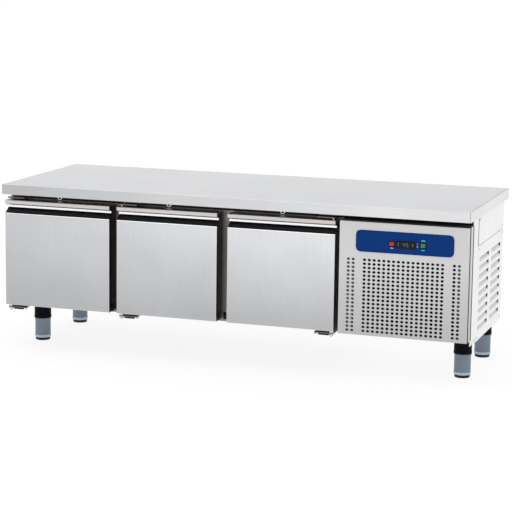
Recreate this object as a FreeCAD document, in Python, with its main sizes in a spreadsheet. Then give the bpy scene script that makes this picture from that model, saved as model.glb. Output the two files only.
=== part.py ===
"""Low refrigerated counter with three hinged doors and a side-mounted cooling unit.

Millimetres, +Z up. X runs along the counter, left to right, and the doors face -Y.
The origin is on the floor, under the centre of the worktop.
"""
import FreeCAD, Part
import math
import os
import re
import Sketcher

V = FreeCAD.Vector

SIZES = {
    # overall
    "width": 1720, "depth": 650, "height": 610,
    # worktop
    "top_thickness": 36, "top_sheet": 1.2, "top_return": 60, "top_fold": 2,
    # carcass
    "foot_height": 158, "side_setback": 5, "front_setback": 15, "rear_overhang": 60, "sheet": 1.2,
    "insulation": 50, "ceiling_wall": 40, "liner_sheet": 1, "frame_sheet": 3, "mullion_depth": 40,
    "hinge_lap": 32, "latch_lap": 16,
    # doors, left to right, and the gaps between the fronts
    "door_a_width": 409, "door_b_width": 378, "door_c_width": 389, "gap_ab": 29, "gap_bc": 39,
    "gap_panel": 16, "door_thickness": 48, "door_lift": 8, "header_gap": 22, "door_liner": 2,
    "gasket_depth": 10, "gasket_width": 11, "gasket_edge": 2, "gasket_inset": 0.5,
    "corner_fold": 1.5,
    # finger pull along the top of each door
    "pull_height": 28, "recess_height": 21, "recess_rise": 27, "recess_back": 6,
    "pull_sheet": 1.5, "nose_height": 16, "lip_setback": 20, "nose_radius": 7, "bend_radius": 3,
    "web_drop": 18,
    # door hinges
    "pivot_inset": 12, "pivot_setback": 20, "pin_radius": 4, "pin_clearance": 0.06,
    "pin_reach": 11, "low_pin_reach": 12, "boss_radius": 8, "pin_pocket": 1.5, "pin_gap": 1,
    "bracket_thickness": 4, "bracket_length": 70, "bracket_edge": 3, "bracket_nose": 8,
    "bracket_clearance": 5, "bracket_leg": 15, "bracket_foot": 80,
    # header locks
    "lock_radius": 10, "lock_proud": 8, "barrel_radius": 8, "barrel_length": 27, "plug_radius": 6,
    "plug_clearance": 0.05, "plug_length": 24, "lock_drop": 11, "lock_offset": 10,
    "key_slot_width": 1.6, "key_slot_height": 8, "key_slot_depth": 6, "fit_gap": 0.2,
    # cooling unit bay
    "bay_gap": 3, "bay_header_height": 40, "bay_base": 2, "post_depth": 82, "post_sheet": 1.5,
    "flange_sheet": 2, "flange_lap": 20, "front_flange": 38, "rear_flange": 33, "skirt": 20,
    "seam": 2, "upper_panel_height": 101,
    # perforated front panel
    "panel_lift": 4, "panel_gap": 20, "hole_width": 11, "hole_height": 9, "column_pitch": 16.9,
    "row_pitch": 13.7, "side_margin": 33, "centre_margin": 89.5, "foot_margin": 15.5,
    "head_margin": 27,
    # louvred side panel
    "louvre_pitch": 30, "louvre_head": 42, "louvre_height": 19, "louvre_lap": 1,
    "louvre_reach": 12, "louvre_rise": 15, "louvre_front": 27, "louvre_rear": 42,
    "louvre_bar": 41, "louvre_foot": 32,
    # rear panel
    "rear_slot_height": 8, "rear_slot_pitch": 30, "rear_head": 86, "rear_foot": 80,
    "rear_margin": 60,
    # control fascia
    "fascia_width": 340, "fascia_height": 75, "fascia_thick": 2, "fascia_left": 58,
    "fascia_drop": 27, "fascia_radius": 18, "bezel_width": 66, "bezel_height": 25,
    "bezel_thick": 3, "bezel_lap": 3, "case_depth": 50, "window_width": 40, "window_height": 17,
    "window_proud": 0.6, "window_depth": 1.5, "key_width": 4.5, "key_height": 13, "key_inset": 8,
    "key_proud": 1, "key_seat": 1.5, "key_travel": 0.5, "key_gap": 0.3, "switch_size": 20,
    "switch_lap": 1, "switch_flange": 1.5, "switch_depth": 27, "bezel_offset": 174,
    "power_gap": 5, "light_gap": 17, "switch_drop": 42, "switch_wall": 1.2, "well_depth": 12,
    "cutout_gap": 0.3, "rocker_gap": 1.2, "rocker_side_gap": 0.4, "rocker_tilt": 7,
    "rocker_pivot": 2, "rocker_tip": 7, "rocker_waist": 4.6, "rocker_back": 3,
    # inside the cold compartment
    "rail_web": 2, "rail_ledge": 12, "rail_height": 16, "rail_level": 158, "shelf_gap": 2,
    "rod_radius": 3, "cross_radius": 2.5, "wire_radius": 1.6, "shelf_wires": 11, "evaporator_bay": 72,
    "cover_front": 44, "inlet_height": 60, "evaporator_front": 60, "evaporator_back": 24,
    "coil_clear": 58, "cold_fins": 26, "cold_tubes": 5, "warm_fins": 33, "warm_tubes": 8,
    "fin_sheet": 2, "coil_lift": 14, "coil_thick": 44, "cold_fan_radius": 66, "cold_fan_gap": 6,
    "cold_fan_drop": 98, "cold_fan_offset": 6,
    # condensing unit
    "shroud_left": 66, "shroud_width": 324, "shroud_height": 272, "shroud_front": 12,
    "shroud_depth": 80, "shroud_sheet": 2, "condenser_depth": 40, "cold_fan_depth": 16,
    "cold_motor_radius": 28, "hub_gap": 2, "fan_blades": 5, "blade_chord": 36, "blade_thick": 1.6,
    "blade_pitch": 28, "blade_root": 4, "motor_bracket": 24, "motor_strap": 6,
    "motor_strap_inset": 8, "fan_radius": 98, "fan_gap": 7, "fan_depth": 20, "hub_radius": 24,
    "shaft_radius": 4, "shaft_clearance": 0.05, "motor_radius": 36, "motor_length": 46,
    "compressor_radius": 84, "compressor_height": 180, "dome_radius": 36, "compressor_x": 158,
    "compressor_shift": 2.5, "terminal_sink": 12, "terminal_depth": 28, "terminal_width": 52,
    "terminal_low": 50, "terminal_high": 110, "mount_height": 12, "mount_radius": 13,
    "plate_thick": 4, "plate_half": 82, "tray_width": 150, "tray_length": 200, "tray_side": 20,
    "tray_rear": 30, "tray_height": 40, "tray_wall": 2, "pipe_radius": 4, "liquid_reach": 100,
    "liquid_share": 0.328125, "suction_reach": 130, "suction_share": 0.75, "pipe_run": 40,
    "pipe_step": 20, "drier_radius": 9.6, "drier_length": 46, "outlet_rise": 60,
    "outlet_inset": 30, "hot_inset": 14, "hot_run": 70, "hot_drop": 60,
    # feet
    "foot_side": 59, "foot_front": 215, "foot_rear": 94, "collar_height": 74, "collar_wall": 1.7,
    "pad_inset": 3, "tube_gap": 8, "foot_radius": 30, "foot_gap": 0.3, "pad_height": 10,
    "pad_step": 0.5, "collar_roof": 4,
    # fasteners and cable entry
    "screw_inset": 16, "screw_drop": 12, "screw_rise": 22, "screw_head": 4.5, "screw_proud": 2,
    "screw_shank": 1.9, "screw_hole": 2.1, "screw_length": 8, "gland_radius": 11, "gland_bore": 5,
    "gland_length": 18, "gland_inset": 90, "gland_level": 45,
}

doc = FreeCAD.newDocument("RefrigeratedCounter")
sheet = doc.addObject("Spreadsheet::Sheet", "Sizes")
for row, (word, number) in enumerate(SIZES.items(), start=1):
    sheet.set(f"A{row}", word)
    sheet.set(f"B{row}", str(number))
    sheet.setAlias(f"B{row}", word)
doc.recompute()

nodes = []


def size(word):
    """A driving dimension's value, for the few shapes that are worked out in code."""
    return float(sheet.get(word))


def worth(words):
    """The number that a sum of named sizes comes to."""
    sheet.set("D1", f"={words}")
    sheet.recompute()
    number = float(sheet.get("D1"))
    sheet.clear("D1")
    return number


def rows(room, pitch_word):
    """How many lines of a pattern fit when the first and the last are a room apart."""
    return int(worth(room) / size(pitch_word) + 0.01) + 1


def bound(words):
    """Point every word of a sum at its cell in the sheet."""
    return re.sub(r"\b[a-z][a-z_]+\b(?!\()", lambda found: "Sizes." + found.group(), str(words))


def bind(piece, settings):
    for name, words in settings.items():
        piece.setExpression(name, bound(words))
    return piece


def box(name, x, y, z):
    """A box given by its (low, high) span along each axis."""
    piece = doc.addObject("Part::Box", name)
    for side, axis, (low, high) in zip(("Length", "Width", "Height"), "xyz", (x, y, z)):
        bind(piece, {side: f"({high}) - ({low})", f"Placement.Base.{axis}": low})
    return piece


TURNS = {
    "x": FreeCAD.Rotation(V(0, 1, 0), 90),
    "y": FreeCAD.Rotation(V(1, 0, 0), -90),
    "z": FreeCAD.Rotation(),
}


def rod(name, axis, centre, span, radius):
    """A round bar along an axis; centre is the pair of its other two coordinates."""
    piece = doc.addObject("Part::Cylinder", name)
    piece.Placement = FreeCAD.Placement(V(), TURNS[axis])
    places = dict(zip([other for other in "xyz" if other != axis], centre))
    places[axis] = span[0]
    for side, words in places.items():
        bind(piece, {f"Placement.Base.{side}": words})
    return bind(piece, {"Height": f"({span[1]}) - ({span[0]})", "Radius": radius})


def fuse(name, pieces):
    piece = doc.addObject("Part::MultiFuse", name)
    piece.Shapes = list(pieces)
    return piece


def cut(name, base, tools):
    """Take one tool or several away from a piece."""
    piece = doc.addObject("Part::Cut", name)
    piece.Base = base
    piece.Tool = tools[0] if len(tools) == 1 else fuse(name + "_tools", tools)
    return piece


def group(name, pieces):
    """Separate solids of one kind that share a file."""
    piece = doc.addObject("Part::Compound", name)
    piece.Links = list(pieces)
    return piece


def node(piece):
    piece.Label = piece.Name
    nodes.append(piece)
    return piece


def rounded(name, base, edges, radius_word):
    """Round numbered edges of a plain box."""
    piece = doc.addObject("Part::Fillet", name)
    piece.Base = base
    piece.Edges = [(edge, size(radius_word), size(radius_word)) for edge in edges]
    return piece


def built(name, shape, place):
    """A shape worked out in code about its own origin, then placed from the sheet."""
    piece = doc.addObject("Part::Feature", name)
    piece.Shape = shape
    return bind(piece, {f"Placement.Base.{axis}": words for axis, words in zip("xyz", place)})


def profile(name, points, start, length, folds=()):
    """A body with a closed outline in the YZ plane, padded along X from start.

    folds holds (point numbers, radius word) pairs: the bends that run along X.
    """
    body = doc.addObject("PartDesign::Body", name)
    side = next(p for p in body.Origin.OriginFeatures if p.Role == "YZ_Plane")
    sketch = body.newObject("Sketcher::SketchObject", name + "_outline")
    sketch.AttachmentSupport = [(side, "")]
    sketch.MapMode = "FlatFace"
    count = len(points)
    ring = [V(math.cos(2 * math.pi * i / count), math.sin(2 * math.pi * i / count), 0)
            for i in range(count)]
    for i in range(count):
        sketch.addGeometry(Part.LineSegment(ring[i], ring[(i + 1) % count]))
    for i in range(count):
        sketch.addConstraint(Sketcher.Constraint("Coincident", i, 2, (i + 1) % count, 1))
    for i, (across, up) in enumerate(points):
        for kind, words, guess in (("DistanceX", across, ring[i].x), ("DistanceY", up, ring[i].y)):
            number = sketch.addConstraint(Sketcher.Constraint(kind, -1, 1, i, 1, guess))
            bind(sketch, {f"Constraints[{number}]": words})
    pad = body.newObject("PartDesign::Pad", name + "_pad")
    pad.Profile = sketch
    bind(pad, {"Length": length})
    doc.recompute()
    for number, (chosen, radius) in enumerate(folds):
        corners = [sketch.Geometry[i].StartPoint for i in chosen]
        last = body.Tip
        edges = []
        for i, edge in enumerate(last.Shape.Edges, start=1):
            ends = [vertex.Point for vertex in edge.Vertexes]
            for corner in corners:
                if all(abs(p.y - corner.x) + abs(p.z - corner.y) < 1e-3 for p in ends):
                    edges.append(f"Edge{i}")
        fold = body.newObject("PartDesign::Fillet", f"{name}_fold_{number}")
        fold.Base = (last, edges)
        bind(fold, {"Radius": radius})
        doc.recompute()
    return bind(body, {"Placement.Base.x": start})


# ---------------------------------------------------------------- places shared by the pieces
top_under = "(height - top_thickness)"
front_edge = "(0 - depth / 2)"
face = f"({front_edge} + front_setback)"
door_back = f"({face} + door_thickness)"
frame_face = f"({door_back} + gasket_depth)"
frame_back = f"({frame_face} + frame_sheet)"
rear = "(depth / 2 - rear_overhang)"
body_left = "(side_setback - width / 2)"
body_right = "(width / 2 - side_setback)"

door_spans = []
left = body_left
for letter, gap in zip("abc", ("gap_ab", "gap_bc", "gap_panel")):
    right = f"({left} + door_{letter}_width)"
    door_spans.append((left, right))
    left = f"({right} + {gap})"
panel_left = left
bay_left = f"({panel_left} - bay_gap)"
recess = "(door_thickness - recess_back)"
door_low = "(foot_height + door_lift)"
door_high = f"({top_under} - header_gap)"
shell_top = f"({door_high} - pull_sheet)"

cold_left = f"({body_left} + insulation)"
cold_right = f"({bay_left} - insulation)"
cold_back = f"({rear} - insulation)"
cold_floor = "(foot_height + insulation)"
cold_ceiling = f"({top_under} - ceiling_wall)"

# Doors a and b hang on their left edge, door c on its right edge.
hinges_left = (True, True, False)
mullion_a = (f"({door_spans[0][1]} - latch_lap)", f"({door_spans[1][0]} + hinge_lap)")
mullion_b = (f"({door_spans[1][1]} - latch_lap)", f"({door_spans[2][0]} + latch_lap)")
openings = ((cold_left, mullion_a[0]), (mullion_a[1], mullion_b[0]), (mullion_b[1], cold_right))
evaporator_left = f"({cold_right} - evaporator_bay)"
cold_fan_z = f"({cold_ceiling} - cold_fan_drop)"
coil_front = f"({frame_back} + evaporator_front)"
coil_back = f"({cold_back} - evaporator_back)"
coil_low = f"({cold_floor} + coil_lift)"
coil_top = f"({cold_fan_z} - cold_motor_radius - coil_clear)"


# ---------------------------------------------------------------- worktop
def worktop():
    slab = box("worktop_slab", ("0 - width / 2", "width / 2"), (front_edge, "depth / 2"),
               (top_under, "height"))
    doc.recompute()
    folded = rounded("worktop_folded", slab, (1, 3, 5, 7, 2, 6, 10, 12), "top_fold")
    hollow = box("worktop_hollow", ("top_sheet - width / 2", "width / 2 - top_sheet"),
                 (f"{front_edge} + top_sheet", "depth / 2 - top_sheet"),
                 (f"{top_under} + top_sheet", "height - top_sheet"))
    window = box("worktop_window", ("top_return - width / 2", "width / 2 - top_return"),
                 (f"{front_edge} + top_return", "depth / 2 - top_return"),
                 (top_under, f"{top_under} + top_sheet"))
    node(cut("worktop_skin", folded, [hollow, window]))
    core = box("worktop_board", ("top_fold - width / 2", "width / 2 - top_fold"),
               (f"{front_edge} + top_fold", "depth / 2 - top_fold"),
               (f"{top_under} + top_sheet", "height - top_sheet"))
    node(fuse("worktop_core", [core, box("worktop_pad",
         ("top_return - width / 2", "width / 2 - top_return"),
         (f"{front_edge} + top_return", "depth / 2 - top_return"),
         (top_under, f"{top_under} + top_sheet + top_fold"))]))


# ---------------------------------------------------------------- carcass
def lock_places():
    return [(f"(({low}) + ({high})) / 2 - lock_offset", f"{top_under} - lock_drop")
            for low, high in door_spans]


def carcass():
    outer = box("shell_outer", (body_left, bay_left), (frame_back, rear),
                ("foot_height", top_under))
    tools = [box("shell_inner", (f"{body_left} + sheet", f"{bay_left} - sheet"),
                 (frame_back, f"{rear} - sheet"),
                 ("foot_height + sheet", f"{top_under} - sheet"))]
    tools += [rod(f"shell_pipe_{i}", "x", place, (f"{bay_left} - sheet", bay_left),
                  "pipe_radius + fit_gap") for i, place in enumerate(pipe_entries())]
    node(cut("cabinet_shell", outer, tools))

    base_top = "foot_height + bay_base"
    right_inner = f"{body_right} - post_sheet"
    flange_inner = f"{right_inner} - flange_sheet"
    post_back = f"{frame_face} + post_depth"
    upright = (base_top, top_under)
    hanging = ("foot_height - skirt + seam", top_under)
    pieces = [
        box("bay_base_sheet", (bay_left, right_inner), (frame_face, rear),
            ("foot_height", base_top)),
        box("bay_left_flange", (bay_left, f"{bay_left} + front_flange"),
            (frame_face, f"{frame_face} + flange_sheet"), upright),
        box("post_skin", (right_inner, body_right), (frame_face, post_back),
            ("foot_height", top_under)),
        box("post_flange", (flange_inner, right_inner),
            (frame_face, f"{post_back} + flange_lap"), hanging),
        box("bay_header", (bay_left, right_inner), (frame_face, f"{frame_face} + flange_sheet"),
            (f"{top_under} - bay_header_height", top_under)),
        box("post_front", (f"{body_right} - front_flange", right_inner),
            (frame_face, f"{frame_face} + flange_sheet"), upright),
        box("rear_post_flange", (flange_inner, right_inner),
            (f"{rear} - rear_flange", rear), hanging),
        box("rear_post_back", (f"{body_right} - front_flange", right_inner),
            (f"{rear} - post_sheet - flange_sheet", f"{rear} - post_sheet"), upright),
        box("rear_left_flange", (bay_left, f"{bay_left} + front_flange"),
            (f"{rear} - post_sheet - flange_sheet", f"{rear} - post_sheet"), upright),
    ]
    holes = [rod(f"bay_screw_hole_{i}", "x", place, (flange_inner, right_inner), "screw_hole")
             for i, place in enumerate(side_screws())]
    holes += [rod(f"bay_rear_screw_{i}", "y", place,
                  (f"{rear} - post_sheet - flange_sheet", f"{rear} - post_sheet"), "screw_hole")
              for i, place in enumerate(rear_screws())]
    node(cut("bay_frame", fuse("bay_welded", pieces), holes))

    foam_outer = box("foam_outer", (f"{body_left} + sheet", f"{bay_left} - sheet"),
                     (frame_back, f"{rear} - sheet"),
                     ("foot_height + sheet", f"{top_under} - sheet"))
    tools = [box("foam_hollow", (f"{cold_left} - liner_sheet", f"{cold_right} + liner_sheet"),
                 (frame_back, f"{cold_back} + liner_sheet"),
                 (f"{cold_floor} - liner_sheet", f"{cold_ceiling} + liner_sheet"))]
    tools += [rod(f"foam_lock_{i}", "y", place,
                  (frame_face, f"{frame_face} + barrel_length + fit_gap"),
                  "barrel_radius + fit_gap") for i, place in enumerate(lock_places())]
    tools += [rod(f"foam_pipe_{i}", "x", place,
                  (f"{cold_right} + liner_sheet", f"{bay_left} - sheet"),
                  "pipe_radius + fit_gap") for i, place in enumerate(pipe_entries())]
    node(cut("cabinet_foam", foam_outer, tools))

    liner_outer = box("liner_outer", (f"{cold_left} - liner_sheet", f"{cold_right} + liner_sheet"),
                      (frame_back, f"{cold_back} + liner_sheet"),
                      (f"{cold_floor} - liner_sheet", f"{cold_ceiling} + liner_sheet"))
    liner_inner = box("liner_inner", (cold_left, cold_right), (frame_back, cold_back),
                      (cold_floor, cold_ceiling))
    tools = [liner_inner]
    tools += [rod(f"liner_pipe_{i}", "x", place, (cold_right, f"{cold_right} + liner_sheet"),
                  "pipe_radius + fit_gap") for i, place in enumerate(pipe_entries())]
    node(cut("inner_liner", liner_outer, tools))

    sheet_span = (frame_face, frame_back)
    header = box("frame_header_blank", (body_left, bay_left), sheet_span,
                 (cold_ceiling, top_under))
    lock_holes = [rod(f"frame_lock_{i}", "y", place, sheet_span, "barrel_radius + fit_gap")
                  for i, place in enumerate(lock_places())]
    bars = [cut("frame_header", header, lock_holes),
            box("frame_sill", (body_left, bay_left), sheet_span, ("foot_height", cold_floor))]
    for word, span in (("left", (body_left, cold_left)), ("right", (cold_right, bay_left))):
        bars.append(box(f"frame_stile_{word}", span, sheet_span, (cold_floor, cold_ceiling)))
    for i, span in enumerate((mullion_a, mullion_b)):
        bars.append(box(f"mullion_{i}", span, (frame_face, f"{frame_back} + mullion_depth"),
                        (cold_floor, cold_ceiling)))
    node(group("front_frame", bars))


# ---------------------------------------------------------------- doors
def hinge_x(number):
    low, high = door_spans[number]
    return f"({low} + pivot_inset)" if hinges_left[number] else f"({high} - pivot_inset)"


hinge_y = f"({face} + pivot_setback)"


def door_outline(inset, back):
    """The door's side view: flat face, sloped finger recess, straight back."""
    drop = f"(sqrt({recess} ^ 2 + recess_rise ^ 2) - recess_rise) / {recess} * {inset}"
    face_top = f"{door_high} - pull_height - recess_height"
    return [
        (f"{face} + {inset}", f"{door_low} + {inset}"),
        (f"{face} + {inset}", f"{face_top} - {drop}"),
        (f"{face} + {recess} + {inset}", f"{face_top} + recess_rise - {drop}"),
        (f"{face} + {recess} + {inset}", f"{shell_top} - {inset}"),
        (back, f"{shell_top} - {inset}"),
        (back, f"{door_low} + {inset}"),
    ]


def pull_outline():
    """The bent pull strip's side view: back web, flat top, rounded nose and set-back lip."""
    lip = f"{face} + lip_setback"
    wall = f"{face} + {recess}"
    nose_low = f"{door_high} - nose_height"
    low = f"{door_high} - pull_height"
    return [
        (door_back, door_high),
        (face, door_high),
        (face, nose_low),
        (lip, f"{nose_low} - pull_sheet * 2"),
        (lip, low),
        (f"{lip} + pull_sheet", low),
        (f"{lip} + pull_sheet", f"{nose_low} - pull_sheet"),
        (f"{face} + pull_sheet", f"{nose_low} + pull_sheet"),
        (f"{face} + pull_sheet", shell_top),
        (f"{wall} - pull_sheet", shell_top),
        (f"{wall} - pull_sheet", f"{shell_top} - web_drop"),
        (wall, f"{shell_top} - web_drop"),
        (wall, shell_top),
        (door_back, shell_top),
    ]


def door(number):
    low, high = door_spans[number]
    tag = f"door_{number + 1}"
    wide = f"({high}) - ({low})"
    pin = (hinge_x(number), hinge_y)
    pin_hole = "pin_radius + pin_clearance"
    pin_floor = f"{door_low} + low_pin_reach + fit_gap"

    outer = profile(f"{tag}_blank", door_outline("0", door_back), low, wide,
                    [((0, 1), "corner_fold")])
    inner = profile(f"{tag}_hollow", door_outline("sheet", door_back), f"{low} + sheet",
                    f"{wide} - 2 * sheet")
    bottom_hole = rod(f"{tag}_pin_hole", "z", pin, (door_low, f"{door_low} + sheet"), pin_hole)
    node(cut(f"{tag}_skin", outer, [inner, bottom_hole]))

    filling = profile(f"{tag}_filling", door_outline("sheet", f"{door_back} - door_liner"),
                      f"{low} + sheet", f"{wide} - 2 * sheet")
    pocket = rod(f"{tag}_pin_pocket", "z", pin, (f"{door_low} + sheet", pin_floor),
                 "pin_radius + pin_pocket")
    node(cut(f"{tag}_foam", filling, [pocket]))

    node(box(f"{tag}_liner", (f"{low} + sheet", f"{high} - sheet"),
             (f"{door_back} - door_liner", door_back),
             (f"{door_low} + sheet", f"{shell_top} - sheet")))

    hinge_side = "pivot_inset + gasket_inset"
    edges = (hinge_side, "gasket_edge") if hinges_left[number] else ("gasket_edge", hinge_side)
    spans = []
    for inset in ("0", "gasket_width"):
        spans.append(((f"{low} + {edges[0]} + {inset}", f"{high} - {edges[1]} - {inset}"),
                      (door_back, frame_face),
                      (f"{door_low} + gasket_edge + {inset}",
                       f"{shell_top} - gasket_edge - {inset}")))
    node(cut(f"{tag}_gasket", box(f"{tag}_gasket_outer", *spans[0]),
             [box(f"{tag}_gasket_inner", *spans[1])]))

    strip = profile(f"{tag}_strip", pull_outline(), low, wide,
                    [((1, 2), "nose_radius"), ((7, 8), "nose_radius - pull_sheet"),
                     ((3,), "bend_radius")])
    top_hole = rod(f"{tag}_top_hole", "z", pin, (shell_top, door_high), pin_hole)
    node(cut(f"{tag}_handle", strip, [top_hole]))


def hinges():
    """Plates on the cabinet above and below each door, and the pins that they hold."""
    solids = []
    pins = []
    for number, (low, high) in enumerate(door_spans):
        if hinges_left[number]:
            along = (f"{low} + bracket_edge", f"{low} + bracket_edge + bracket_length")
        else:
            along = (f"{high} - bracket_edge - bracket_length", f"{high} - bracket_edge")
        nose = f"{hinge_y} - bracket_nose"
        pin = (hinge_x(number), hinge_y)
        level = f"({door_high} + bracket_clearance)"
        solids.append(fuse(f"upper_bracket_{number}", [
            box(f"upper_plate_{number}", along, (nose, frame_face),
                (level, f"{level} + bracket_thickness")),
            box(f"upper_leg_{number}", along, (f"{frame_face} - bracket_thickness", frame_face),
                (level, f"{level} + bracket_leg")),
        ]))
        solids.append(box(f"lower_bracket_{number}", along, (nose, f"{nose} + bracket_foot"),
                          ("foot_height - bracket_thickness", "foot_height")))
        pins.append(rod(f"upper_pin_{number}", "z", pin, (f"{door_high} - pin_reach", level),
                        "pin_radius"))
        pins.append(fuse(f"lower_pin_{number}", [
            rod(f"lower_collar_{number}", "z", pin, ("foot_height", f"{door_low} - pin_gap"),
                "boss_radius"),
            rod(f"lower_stem_{number}", "z", pin, ("foot_height", f"{door_low} + low_pin_reach"),
                "pin_radius"),
        ]))
    node(group("hinge_brackets", solids))
    node(group("hinge_pins", pins))


def locks():
    barrels = []
    for number, place in enumerate(lock_places()):
        end = f"{frame_face} + barrel_length"
        front = f"{frame_face} - lock_proud"
        ring = rod(f"lock_ring_{number}", "y", place, (front, frame_face), "lock_radius")
        tube = rod(f"lock_tube_{number}", "y", place, (frame_face, end), "barrel_radius")
        bore = rod(f"lock_bore_{number}", "y", place, (front, f"{front} + plug_length + fit_gap"),
                   "plug_radius")
        barrels.append(cut(f"lock_barrel_{number}", fuse(f"lock_blank_{number}", [ring, tube]),
                           [bore]))
        turned = rod(f"plug_blank_{number}", "y", place, (front, f"{front} + plug_length"),
                     "plug_radius - plug_clearance")
        slot = box(f"plug_slot_{number}",
                   (f"{place[0]} - key_slot_width / 2", f"{place[0]} + key_slot_width / 2"),
                   (front, f"{front} + key_slot_depth"),
                   (f"{place[1]} - key_slot_height / 2", f"{place[1]} + key_slot_height / 2"))
        node(cut(f"lock_plug_{number + 1}", turned, [slot]))
    node(group("lock_barrels", barrels))


# ---------------------------------------------------------------- unit bay covers
panel_low = "(foot_height + panel_lift)"
panel_high = f"({top_under} - panel_gap)"
fascia_low = f"({panel_high} - fascia_drop - fascia_height)"
switch_z = f"({panel_high} - fascia_drop - switch_drop)"
bezel_x = f"({panel_left} + fascia_left + bezel_offset)"
switch_places = {"power": f"({bezel_x} - (bezel_width + switch_size) / 2 - power_gap)",
                 "light": f"({bezel_x} + (bezel_width + switch_size) / 2 + light_gap)"}
fascia_face = f"({face} - fascia_thick)"
well_width = "(switch_size - 2 * switch_lap - 2 * switch_wall)"


def about(centre, wide):
    """A span of a stated width about a centre."""
    return (f"{centre} - ({wide}) / 2", f"{centre} + ({wide}) / 2")


def fascia_cutouts(name, y, gap):
    """Openings for the controller and both switches through a sheet that spans y."""
    shapes = [box(f"{name}_for_case", about(bezel_x, f"bezel_width - 2 * bezel_lap + 2 * {gap}"), y,
                  about(switch_z, f"bezel_height - 2 * bezel_lap + 2 * {gap}"))]
    for word, place in switch_places.items():
        wide = f"switch_size - 2 * switch_lap + 2 * {gap}"
        shapes.append(box(f"{name}_for_{word}", about(place, wide), y, about(switch_z, wide)))
    return shapes


def front_edges(block):
    """The four edges of a box's front face."""
    front = block.Placement.Base.y
    return [i for i, edge in enumerate(block.Shape.Edges, start=1)
            if all(abs(vertex.Point.y - front) < 1e-6 for vertex in edge.Vertexes)]


def grille_panel():
    outer = box("grille_outer", (panel_left, body_right), (face, frame_face),
                (panel_low, panel_high))
    inner = box("grille_inner", (f"{panel_left} + sheet", f"{body_right} - sheet"),
                (f"{face} + sheet", frame_face), (f"{panel_low} + sheet", f"{panel_high} - sheet"))
    doc.recompute()
    folded = rounded("grille_folded", outer, front_edges(outer), "corner_fold")
    wide = outer.Length.Value
    pitch = size("column_pitch")
    centre_count = round((wide - 2 * size("centre_margin")) / pitch) + 1
    columns = [size("side_margin") + i * pitch for i in range(2)]
    columns += [size("centre_margin") + i * pitch for i in range(centre_count)]
    columns += [wide - size("side_margin") - i * pitch for i in range(2)]
    lines = rows(f"{fascia_low} - {panel_low} - foot_margin - head_margin", "row_pitch")
    holes = []
    for column in columns:
        for line in range(lines):
            centre = V(column, size("foot_margin") + line * size("row_pitch"), 0)
            oval = Part.Ellipse(centre, size("hole_width") / 2, size("hole_height") / 2)
            face_of_hole = Part.Face(Part.Wire(oval.toShape()))
            holes.append(face_of_hole.extrude(V(0, 0, size("sheet"))))
    punch = Part.makeCompound(holes)
    punch.rotate(V(), V(1, 0, 0), 90)
    punch.translate(V(0, size("sheet"), 0))
    punched = doc.addObject("Part::Feature", "grille_punch")
    punched.Shape = Part.makeCompound([hole.copy() for hole in punch.Solids])
    bind(punched, {"Placement.Base.x": panel_left, "Placement.Base.y": face,
                   "Placement.Base.z": panel_low})
    tray = cut("grille_tray", folded, [inner])
    bare = cut("grille_bare", tray, fascia_cutouts("grille_cut", (face, f"{face} + sheet"),
                                                  "cutout_gap"))
    node(cut("grille_panel", bare, [punched]))


def control_panel():
    blank = box("fascia_blank", (f"{panel_left} + fascia_left",
                                 f"{panel_left} + fascia_left + fascia_width"),
                (fascia_face, face), (fascia_low, f"{fascia_low} + fascia_height"))
    doc.recompute()
    across = [i for i, edge in enumerate(blank.Shape.Edges, start=1)
              if abs(edge.Vertexes[0].Point.y - edge.Vertexes[1].Point.y) > 1]
    plate = rounded("fascia_plate", blank, across, "fascia_radius")
    node(cut("control_fascia", plate, fascia_cutouts("fascia_cut", (fascia_face, face),
                                                     "cutout_gap")))

    bezel_front = f"({fascia_face} - bezel_thick)"
    case = fuse("controller_blank", [
        box("controller_bezel", about(bezel_x, "bezel_width"), (bezel_front, fascia_face),
            about(switch_z, "bezel_height")),
        box("controller_body", about(bezel_x, "bezel_width - 2 * bezel_lap"),
            (fascia_face, f"{fascia_face} + case_depth"),
            about(switch_z, "bezel_height - 2 * bezel_lap")),
    ])
    window_seat = (bezel_front, f"{bezel_front} + window_depth")
    seats = [box("window_seat", about(bezel_x, "window_width"), window_seat,
                 about(switch_z, "window_height"))]
    key_front = f"({bezel_front} - key_proud)"
    key_back = f"({bezel_front} + key_seat)"
    for word, sign in (("left", "-"), ("right", "+")):
        place = f"({bezel_x} {sign} (bezel_width / 2 - key_inset))"
        seats.append(box(f"key_seat_{word}", about(place, "key_width + 2 * key_gap"),
                         (bezel_front, f"{key_back} + key_travel + key_gap"),
                         about(switch_z, "key_height + 2 * key_gap")))
        node(box(f"key_{word}", about(place, "key_width"), (key_front, key_back),
                 about(switch_z, "key_height")))
    node(cut("controller_case", case, seats))
    node(box("controller_window", about(bezel_x, "window_width"),
             (f"{bezel_front} - window_proud", window_seat[1]),
             about(switch_z, "window_height")))

    frames = []
    for word, place in switch_places.items():
        flange = box(f"{word}_flange", about(place, "switch_size"),
                     (f"{fascia_face} - switch_flange", fascia_face),
                     about(switch_z, "switch_size"))
        body = box(f"{word}_switch_body", about(place, "switch_size - 2 * switch_lap"),
                   (fascia_face, f"{fascia_face} + switch_depth"),
                   about(switch_z, "switch_size - 2 * switch_lap"))
        well = box(f"{word}_well", about(place, well_width),
                   (f"{fascia_face} - switch_flange", f"{fascia_face} + well_depth"),
                   about(switch_z, well_width))
        frames.append(cut(f"{word}_frame", fuse(f"{word}_frame_blank", [flange, body]), [well]))
        rocker(word, place)
    node(group("switch_bezels", frames))


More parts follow.
